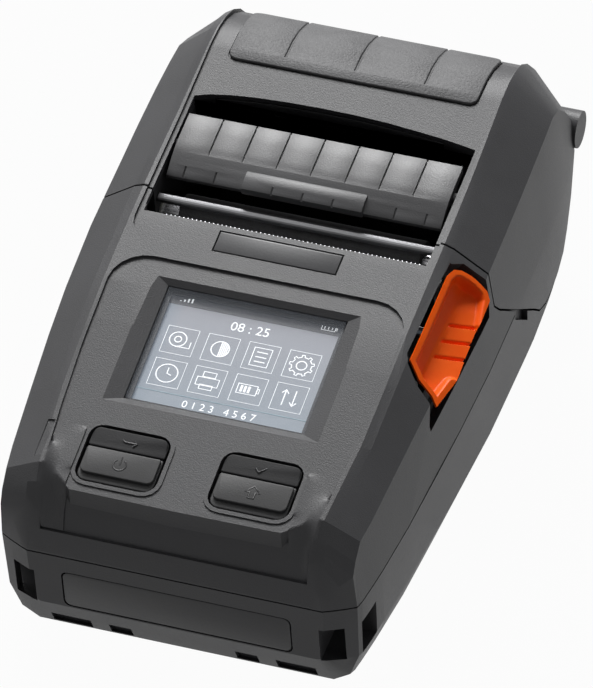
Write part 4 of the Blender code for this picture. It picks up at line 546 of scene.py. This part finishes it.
def leverEdges(y):
    hits = []
    for (y0, c0), (y1, c1) in zip(leverOutline, leverOutline[1:] + leverOutline[:1]):
        if (y0 - y) * (y1 - y) <= 0 and y0 != y1:
            hits.append(c0 + (c1 - c0) * (y - y0) / (y1 - y0))
    side = leverLook["limit"] - leverLook["corner"][0] - between(leverRise, y) * math.sin(leverLook["slope"])
    return min(hits), min(max(hits), side / math.cos(leverLook["slope"]))


def rimDistance(y, c):
    nearest = 1.0
    for (y0, c0), (y1, c1) in zip(leverOutline, leverOutline[1:] + leverOutline[:1]):
        if c0 > leverLook["open"] and c1 > leverLook["open"]:
            continue                       # the grip runs out over this side
        long, wide = y1 - y0, c1 - c0
        along = max(0.0, min(1.0, ((y - y0) * long + (c - c0) * wide) / (long ** 2 + wide ** 2)))
        nearest = min(nearest, math.hypot(y - y0 - along * long, c - c0 - along * wide))
    return nearest


def smooth(share):
    share = max(0.0, min(1.0, share))
    return share * share * (3 - 2 * share)


def leverDepth(y, c):
    wall = smooth((rimDistance(y, c) - leverLook["rim"]) / leverLook["wall"])
    climb = max(0.0, (c - leverLook["valley"]) / (leverLook["crest"] - leverLook["valley"]))
    inner = min(1.0, (c - leverLook["inner"]) / leverLook["innerRun"])
    depth = leverLook["deep"] * (1 - leverLook["climb"] * climb) * (0.45 + 0.55 * inner)
    grip = smooth(climb * 8)
    for spot, lean in leverSteps:
        behind = y - (spot + lean * (c - leverLook["valley"]))
        if 0 < behind < leverLook["groove"]:
            depth += leverLook["grooveDeep"] * math.sin(math.pi * (behind / leverLook["groove"]) ** 0.6) * grip
        if 0 < behind < leverLook["step"]:
            depth += leverLook["stepDeep"] * (1 - behind / leverLook["step"]) * grip
    return wall * depth * (0.4 + 0.6 * smooth((leverLook["edge"] - c) / leverLook["edgeRun"]))


clearChoice()
bpy.ops.mesh.primitive_grid_add(x_subdivisions=leverLook["across"], y_subdivisions=leverLook["along"], size=1)
lever = bpy.context.object
lever.name = "lever_grip"
for vertex in lever.data.vertices:
    y = leverLook["front"] + (vertex.co.y + 0.5) * leverLook["length"]
    low, high = leverEdges(y)
    c = low + (high - low) * (vertex.co.x + 0.5)
    vertex.co = leverCorner @ leverSlope @ Vector((c, y, between(leverRise, y) - leverDepth(y, c)))
bpy.ops.object.mode_set(mode="EDIT")
bpy.ops.mesh.select_all(action="SELECT")
bpy.ops.mesh.extrude_region_move(TRANSFORM_OT_translate={"value": (0, 0, 0)})
bpy.ops.object.mode_set(mode="OBJECT")
for vertex in [v for v in lever.data.vertices if v.select]:
    vertex.co += leverDown
choose(lever)
bpy.ops.object.mode_set(mode="EDIT")
bpy.ops.mesh.select_all(action="SELECT")
bpy.ops.mesh.normals_make_consistent(inside=False)
bpy.ops.object.mode_set(mode="OBJECT")
bpy.ops.object.shade_smooth_by_angle(angle=math.radians(leverLook["smooth"]))
standsFor(lever, "release_lever")
print("lever shaped")

# tear comb
combLook = {"half": 0.0310, "front": 0.0012, "root": 0.0060, "tip": 0.00672, "low": 0.0550, "high": 0.0555,
            "pitch": 0.00103, "near": 0.42, "far": 0.58, "edge": 0.00006}
teeth = round(2 * combLook["half"] / combLook["pitch"])
step = 2 * combLook["half"] / teeth
combOutline = [(-combLook["half"], combLook["front"]), (combLook["half"], combLook["front"])]
for i in range(teeth):
    right = combLook["half"] - i * step
    combOutline += [(right, combLook["root"]), (right - step * combLook["near"], combLook["tip"]),
                    (right - step * combLook["far"], combLook["tip"])]
combOutline.append((-combLook["half"], combLook["root"]))
comb = drawn("tear_comb", combOutline, "Z", combLook["low"], combLook["high"])
edged(comb, combLook["edge"], 40, 30, 1)
standsFor(comb, "tear_bar")
print("comb cut")

# screen: what it shows, laid on the panel
def strokes(name, lines, width, thick, level, finish, body="case"):
    data = bpy.data.curves.new(name, "CURVE")
    data.dimensions = "3D"
    data.bevel_depth = width / 2
    data.bevel_resolution = 1
    for points, closed in lines:
        spline = data.splines.new("POLY")
        spline.points.add(len(points) - 1)
        for point, (across, up) in zip(spline.points, points):
            point.co = (across, up, 0, 1)
        spline.use_cyclic_u = closed
    data.use_fill_caps = True
    piece = bpy.data.objects.new(name, data)
    bpy.context.scene.collection.objects.link(piece)
    choose(piece)
    bpy.ops.object.convert(target="MESH")
    piece = bpy.context.object
    piece.scale = (1, 1, thick / width)
    bpy.ops.object.transform_apply(location=False, rotation=False, scale=True)
    piece.matrix_world = panelMatrix @ Matrix.Translation((0, 0, level))
    return settled(piece, finish, body)


def ring(centre, radius, count=20, start=0.0, turn=math.tau):
    steps = count if turn == math.tau else count + 1
    angles = [start + turn * i / count for i in range(steps)]
    return [(centre[0] + radius * math.cos(angle), centre[1] + radius * math.sin(angle)) for angle in angles]


def boxLine(centre, wide, high):
    x, y = centre
    wide, high = wide / 2, high / 2
    return [(x - wide, y - high), (x + wide, y - high), (x + wide, y + high), (x - wide, y + high)]


def cog(centre, radius, teeth=9):
    points = []
    for i in range(teeth):
        for share, reach in ((0.0, 0.80), (0.18, 0.80), (0.26, 1.0), (0.56, 1.0), (0.64, 0.80)):
            angle = math.tau * (i + share) / teeth
            points.append((centre[0] + radius * reach * math.cos(angle),
                           centre[1] + radius * reach * math.sin(angle)))
    return points


# icons are drawn in lengths on the panel; the screen lies below it
iconLook = {"across": (-0.0147, -0.0050, 0.0047, 0.0144), "rows": (0.0032, -0.0060), "size": 0.0074, "line": 0.00030,
            "frame": 0.00018, "thick": 0.00004, "level": -0.00326, "barLevel": -0.00323, "barWidth": 0.00040,
            "cellWidth": 0.00018, "stripSpot": (0, 0.0147), "stripSize": (0.0430, 0.0036), "stripLow": -0.00329,
            "stripHigh": -0.00325, "rule": 0.00014, "ruleHalf": 0.0214, "ruleSpot": -0.0112}


def iconSpot(column, row):
    return iconLook["across"][column], iconLook["rows"][row]


frames = [(boxLine(iconSpot(column, row), iconLook["size"], iconLook["size"]), True)
          for column in range(4) for row in range(2)]
lines = []
x, y = iconSpot(3, 0)                                             # cog
lines += [(cog((x, y), 0.0029), True), (ring((x, y), 0.0012), True)]
x, y = iconSpot(0, 0)                                             # label roll
lines += [(ring((x - 0.0005, y + 0.0004), 0.0020), True), (ring((x - 0.0005, y + 0.0004), 0.0008, 14), True),
          ([(x - 0.0005, y - 0.0016), (x + 0.0027, y - 0.0016), (x + 0.0027, y + 0.0002)], False)]
x, y = iconSpot(1, 0)                                             # contrast disc
discRadius = 0.0021
lines += [(ring((x, y), discRadius, 24), True), ([(x, y - 0.0019), (x, y + 0.0020)], False)]
for d in (0.0004, 0.0008, 0.0012, 0.0016):
    reach = math.sqrt(discRadius ** 2 - d * d)
    lines += [([(x + d, y - reach), (x + d, y + reach)], False)]
x, y = iconSpot(2, 0)                                             # label with lines
lines += [(boxLine((x, y), 0.0042, 0.0050), True)]
lines += [([(x - 0.0013, y + d), (x + 0.0013, y + d)], False) for d in (0.0013, 0.0, -0.0013)]
x, y = iconSpot(0, 1)                                             # clock
lines += [(ring((x, y), 0.0025, 28), True), ([(x, y + 0.0016), (x, y), (x + 0.0011, y - 0.0004)], False)]
x, y = iconSpot(1, 1)                                             # printer
lines += [(boxLine((x, y - 0.0002), 0.0052, 0.0022), True), (boxLine((x, y + 0.0018), 0.0030, 0.0014), True),
          (boxLine((x, y - 0.0017), 0.0030, 0.0012), True)]
x, y = iconSpot(2, 1)                                             # battery
lines += [(boxLine((x - 0.0003, y), 0.0046, 0.0026), True), (boxLine((x + 0.0023, y), 0.0005, 0.0012), True)]
lines += [([(x + d, y - 0.0009), (x + d, y + 0.0009)], False)
          for d in (-0.0018, -0.0015, -0.0009, -0.0006, 0.0, 0.0003)]
x, y = iconSpot(3, 1)                                             # arrow up and down
lines += [([(x - 0.0012, y - 0.0022), (x - 0.0012, y + 0.0020)], False),
          ([(x - 0.0020, y + 0.0011), (x - 0.0012, y + 0.0021), (x - 0.0004, y + 0.0011)], False),
          ([(x + 0.0012, y + 0.0022), (x + 0.0012, y - 0.0020)], False),
          ([(x + 0.0004, y - 0.0011), (x + 0.0012, y - 0.0021), (x + 0.0020, y - 0.0011)], False)]
strokes("screen_icon_frames", frames, iconLook["frame"], iconLook["thick"], iconLook["level"], iconInk)
strokes("screen_icons", lines, iconLook["line"], iconLook["thick"], iconLook["level"], iconInk)
bars = [([(-0.0180 + 0.0009 * i, 0.0139), (-0.0180 + 0.0009 * i, 0.0141 + 0.0004 * i)], False) for i in range(4)]
cell = [(boxLine((0.0172, 0.0146), 0.0032, 0.0013), True), (boxLine((0.0191, 0.0146), 0.0003, 0.0006), True)]
cell += [([(0.0163 + 0.0009 * i, 0.01425), (0.0163 + 0.0009 * i, 0.01495)], False) for i in range(3)]
strokes("screen_signal", bars, iconLook["barWidth"], iconLook["thick"], iconLook["barLevel"], iconInk)
strokes("screen_charge", cell, iconLook["cellWidth"], iconLook["thick"], iconLook["barLevel"], iconInk)
strip = drawn("screen_strip", boxLine(iconLook["stripSpot"], *iconLook["stripSize"]), "Z", iconLook["stripLow"],
              iconLook["stripHigh"])
strip.matrix_world = panelMatrix
settled(strip, stripInk, "case")
rule = [([(-iconLook["ruleHalf"], iconLook["ruleSpot"]), (iconLook["ruleHalf"], iconLook["ruleSpot"])], False)]
strokes("screen_rule", rule, iconLook["rule"], iconLook["thick"], iconLook["stripHigh"], lineInk)


def digits(name, words, size, spot):
    clearChoice()
    bpy.ops.object.text_add(location=(0, 0, 0))
    piece = bpy.context.object
    piece.data.body = words
    piece.data.size = size
    piece.data.align_x = "CENTER"
    piece.data.extrude = iconLook["thick"] / 2
    piece.data.resolution_u = 4
    bpy.ops.object.convert(target="MESH")
    piece = bpy.context.object
    piece.name = name
    piece.matrix_world = panelMatrix @ Matrix.Translation((*spot, iconLook["stripHigh"]))
    return settled(piece, iconInk, "case")


digits("screen_digits_upper", "08 : 25", 0.0034, (0.0, 0.0089))
digits("screen_digits_lower", "0 1 2 3   4 5 6 7", 0.0027, (0.0, -0.0141))
print("screen drawn")

# keys: a skirt in the well and a raised face
# each box is half width, front and rear edge
keyShape = {"middle": 0.0157, "low": -0.0022, "high": -0.0001, "round": 0.0022, "sharp": 0.0005, "skirtSoft": 0.0003,
            "inset": 0.0006, "least": 0.0004, "bite": 0.0004, "soft": 0.00022}
upperKey = {"skirt": (0.0091, -0.0308, -0.0256), "face": (0.0088, -0.0304, -0.0260), "top": 0.00045, "tilt": 0.0007,
            "radii": (keyShape["sharp"], keyShape["sharp"], keyShape["round"], keyShape["round"])}
lowerKey = {"skirt": (0.0091, -0.0403, -0.0312), "face": (0.0087, -0.0386, -0.0316), "top": 0.00075, "tilt": 0.0,
            "radii": (keyShape["round"], keyShape["round"], keyShape["sharp"], keyShape["sharp"])}


def roundedBox(low, high, radii, steps=6):
    points = []
    corners = [(low[0], low[1], 180), (high[0], low[1], 270), (high[0], high[1], 0), (low[0], high[1], 90)]
    for (x, y, start), radius in zip(corners, radii):
        cx = x + radius if x == low[0] else x - radius
        cy = y + radius if y == low[1] else y - radius
        for i in range(steps + 1):
            angle = math.radians(start + 90 * i / steps)
            points.append((cx + radius * math.cos(angle), cy + radius * math.sin(angle)))
    return points


def keyPiece(name, node, middle, look):
    half, front, rear = look["skirt"]
    outline = roundedBox((middle - half, front), (middle + half, rear), look["radii"])
    key = drawn(name, outline, "Z", keyShape["low"], keyShape["high"])
    edged(key, keyShape["skirtSoft"], 40, 40, 3)
    inner = [max(keyShape["least"], radius - keyShape["inset"]) for radius in look["radii"]]
    half, front, rear = look["face"]
    outline = roundedBox((middle - half, front), (middle + half, rear), inner)
    crown = drawn(name + "_face", outline, "Z", keyShape["low"] + keyShape["bite"], look["top"])
    for vertex in crown.data.vertices:
        if vertex.co.z > 0:
            vertex.co.z -= look["tilt"] * (rear - vertex.co.y) / (rear - front)
    edged(crown, keyShape["soft"], 40, 40, 3)
    boolean(key, crown, "UNION")
    key.matrix_world = panelMatrix
    choose(key)
    bpy.ops.object.shade_smooth_by_angle(angle=math.radians(40))
    return standsFor(key, node)


for side, word in ((-1, "left"), (1, "right")):
    keyPiece("key_top_" + word, "key_upper_" + word, side * keyShape["middle"], upperKey)
    keyPiece("key_bottom_" + word, "key_lower_" + word, side * keyShape["middle"], lowerKey)
print("keys shaped")

# a smooth sheet over each front corner of the recess
drapeLook = {"inner": 0.0262, "outer": 0.0331, "front": -0.0795, "rear": -0.0600, "across": 28, "along": 78,
             "rounds": 160, "lift": 0.00003, "thick": 0.0003, "smooth": 60}
columns, rows = drapeLook["across"] + 1, drapeLook["along"] + 1
innerSpots = [row * columns + column for row in range(1, rows - 1) for column in range(1, columns - 1)]
for side, word in ((-1, "left"), (1, "right")):
    clearChoice()
    bpy.ops.mesh.primitive_grid_add(x_subdivisions=drapeLook["across"], y_subdivisions=drapeLook["along"], size=1)
    sheet = bpy.context.object
    sheet.name = "recess_corner_" + word
    deckLine = []
    for vertex in sheet.data.vertices:
        x = side * (drapeLook["inner"] + (drapeLook["outer"] - drapeLook["inner"]) * (vertex.co.x + 0.5))
        y = drapeLook["front"] + (drapeLook["rear"] - drapeLook["front"]) * (vertex.co.y + 0.5)
        vertex.co = (x, y, deckHeight(x, y) + drapeLook["lift"])
        deckLine.append(vertex.co.z)
    height = list(deckLine)
    for _ in range(drapeLook["rounds"]):
        last = list(height)
        for i in innerSpots:
            height[i] = max(deckLine[i], (last[i - 1] + last[i + 1] + last[i - columns] + last[i + columns]) / 4)
    for vertex, z in zip(sheet.data.vertices, height):
        vertex.co.z = z
    applied(sheet, "SOLIDIFY", thickness=drapeLook["thick"], offset=-1)
    choose(sheet)
    bpy.ops.object.mode_set(mode="EDIT")
    bpy.ops.mesh.select_all(action="SELECT")
    bpy.ops.mesh.normals_make_consistent(inside=False)
    bpy.ops.object.mode_set(mode="OBJECT")
    bpy.ops.object.shade_smooth_by_angle(angle=math.radians(drapeLook["smooth"]))
    settled(sheet, charcoal, "case")
print("corners draped")

# symbols on the keys
symbolLook = {"width": 0.00042, "thick": 0.00012, "lower": 0.00078, "upper": 0.00012}
x = keyShape["middle"]
power = [(ring((-x, -0.0352), 0.0015, 20, math.radians(125), math.radians(290)), False),
         ([(-x, -0.0352), (-x, -0.0330)], False)]
feed = [(ring((-x - 0.0008, -0.0277), 0.0008, 12, math.radians(-90), math.radians(-180)), False),
        ([(-x - 0.0008, -0.0269), (-x + 0.0006, -0.0269)], False),
        ([(-x - 0.0008, -0.0285), (-x + 0.0018, -0.0285)], False),
        ([(-x + 0.0010, -0.0277), (-x + 0.0019, -0.0285), (-x + 0.0010, -0.0293)], False)]
tick = [([(x - 0.0016, -0.0282), (x - 0.0006, -0.0292), (x + 0.0018, -0.0272)], False)]
upward = [([(x - 0.0007, -0.0368), (x - 0.0007, -0.0352), (x - 0.0017, -0.0352), (x, -0.0335), (x + 0.0017, -0.0352),
           (x + 0.0007, -0.0352), (x + 0.0007, -0.0368)], True)]
for name, lines, row, word in (("symbol_power", power, "lower", "left"), ("symbol_feed", feed, "upper", "left"),
                               ("symbol_tick", tick, "upper", "right"), ("symbol_up", upward, "lower", "right")):
    strokes(name, lines, symbolLook["width"], symbolLook["thick"], symbolLook[row], symbolInk,
            row + "_" + word + "_key")
print("key symbols drawn")

# camera, light and floor
cameraLook = {"place": (0.52684, -1.30905, 1.47598), "right": (0.94643, 0.31806, -0.05583),
              "down": (0.19167, -0.69244, -0.69556), "forward": (-0.25989, 0.64759, -0.71630), "lens": 460.13,
              "sensor": 36, "near": 0.05, "far": 20}
bpy.ops.object.camera_add()
camera = bpy.context.object
camera.name = "studioCamera"
axes = [Vector(cameraLook["right"]), -Vector(cameraLook["down"]), -Vector(cameraLook["forward"])]
turn = Matrix([[axis[row] for axis in axes] for row in range(3)]).to_4x4()
camera.matrix_world = Matrix.Translation(cameraLook["place"]) @ turn
camera.data.lens = cameraLook["lens"]
camera.data.sensor_width = cameraLook["sensor"]
camera.data.clip_start = cameraLook["near"]
camera.data.clip_end = cameraLook["far"]
bpy.context.scene.camera = camera

lampLook = {
    "keyLamp": {"place": (-0.50, 1.35, 1.20), "size": 0.90, "power": 54.0},
    "leftLamp": {"place": (-1.20, 0.30, 0.80), "size": 0.50, "power": 2.5},
    "sideLamp": {"place": (1.25, -0.10, 0.80), "size": 0.60, "power": 1.0},
}
lampTarget = Vector((0, 0, 0.03))
for name, look in lampLook.items():
    clearChoice()
    bpy.ops.object.light_add(type="AREA", location=look["place"])
    lamp = bpy.context.object
    lamp.name = name
    lamp.data.shape = "DISK"
    lamp.data.size = look["size"]
    lamp.data.energy = look["power"]
    lamp.rotation_euler = (lampTarget - Vector(look["place"])).to_track_quat("-Z", "Y").to_euler()


def seenRays(tree):
    path = tree.nodes.new("ShaderNodeLightPath")
    direct, glossy, passed = [Shade(tree, path.outputs[f"Is {kind} Ray"])
                              for kind in ("Camera", "Glossy", "Transmission")]
    return direct + glossy + passed


floorLook = {"size": 6.0, "drop": -0.0004, "white": 0.20, "seen": 0.965}
clearChoice()
bpy.ops.mesh.primitive_plane_add(size=floorLook["size"], location=(0, 0, floorLook["drop"]))
floor = bpy.context.object
floor.name = "paleFloor"
floorFinish = bpy.data.materials.new("paleFloor")
floorFinish.use_nodes = True
tree = floorFinish.node_tree
tree.nodes.clear()
paint = tree.nodes.new("ShaderNodeBsdfDiffuse")
paint.inputs["Color"].default_value = (floorLook["white"],) * 3 + (1,)
glow = tree.nodes.new("ShaderNodeEmission")
glow.inputs["Color"].default_value = (1, 1, 1, 1)
mixed = tree.nodes.new("ShaderNodeMixShader")
tree.links.new((seenRays(tree) * floorLook["seen"]).out, mixed.inputs[0])
tree.links.new(paint.outputs[0], mixed.inputs[1])
tree.links.new(glow.outputs[0], mixed.inputs[2])
end = tree.nodes.new("ShaderNodeOutputMaterial")
tree.links.new(mixed.outputs[0], end.inputs["Surface"])
floor.data.materials.append(floorFinish)

worldLook = {"seen": 0.92, "fill": 0.08}
world = bpy.data.worlds.new("studioWorld")
bpy.context.scene.world = world
world.use_nodes = True
tree = world.node_tree
tree.nodes.clear()
strength = seenRays(tree) * worldLook["seen"] + worldLook["fill"]
sky = tree.nodes.new("ShaderNodeBackground")
sky.inputs["Color"].default_value = (1, 1, 1, 1)
tree.links.new(strength.out, sky.inputs["Strength"])
end = tree.nodes.new("ShaderNodeOutputWorld")
tree.links.new(sky.outputs[0], end.inputs["Surface"])
bpy.context.scene.view_settings.view_transform = "Standard"
print("camera, light and floor set")
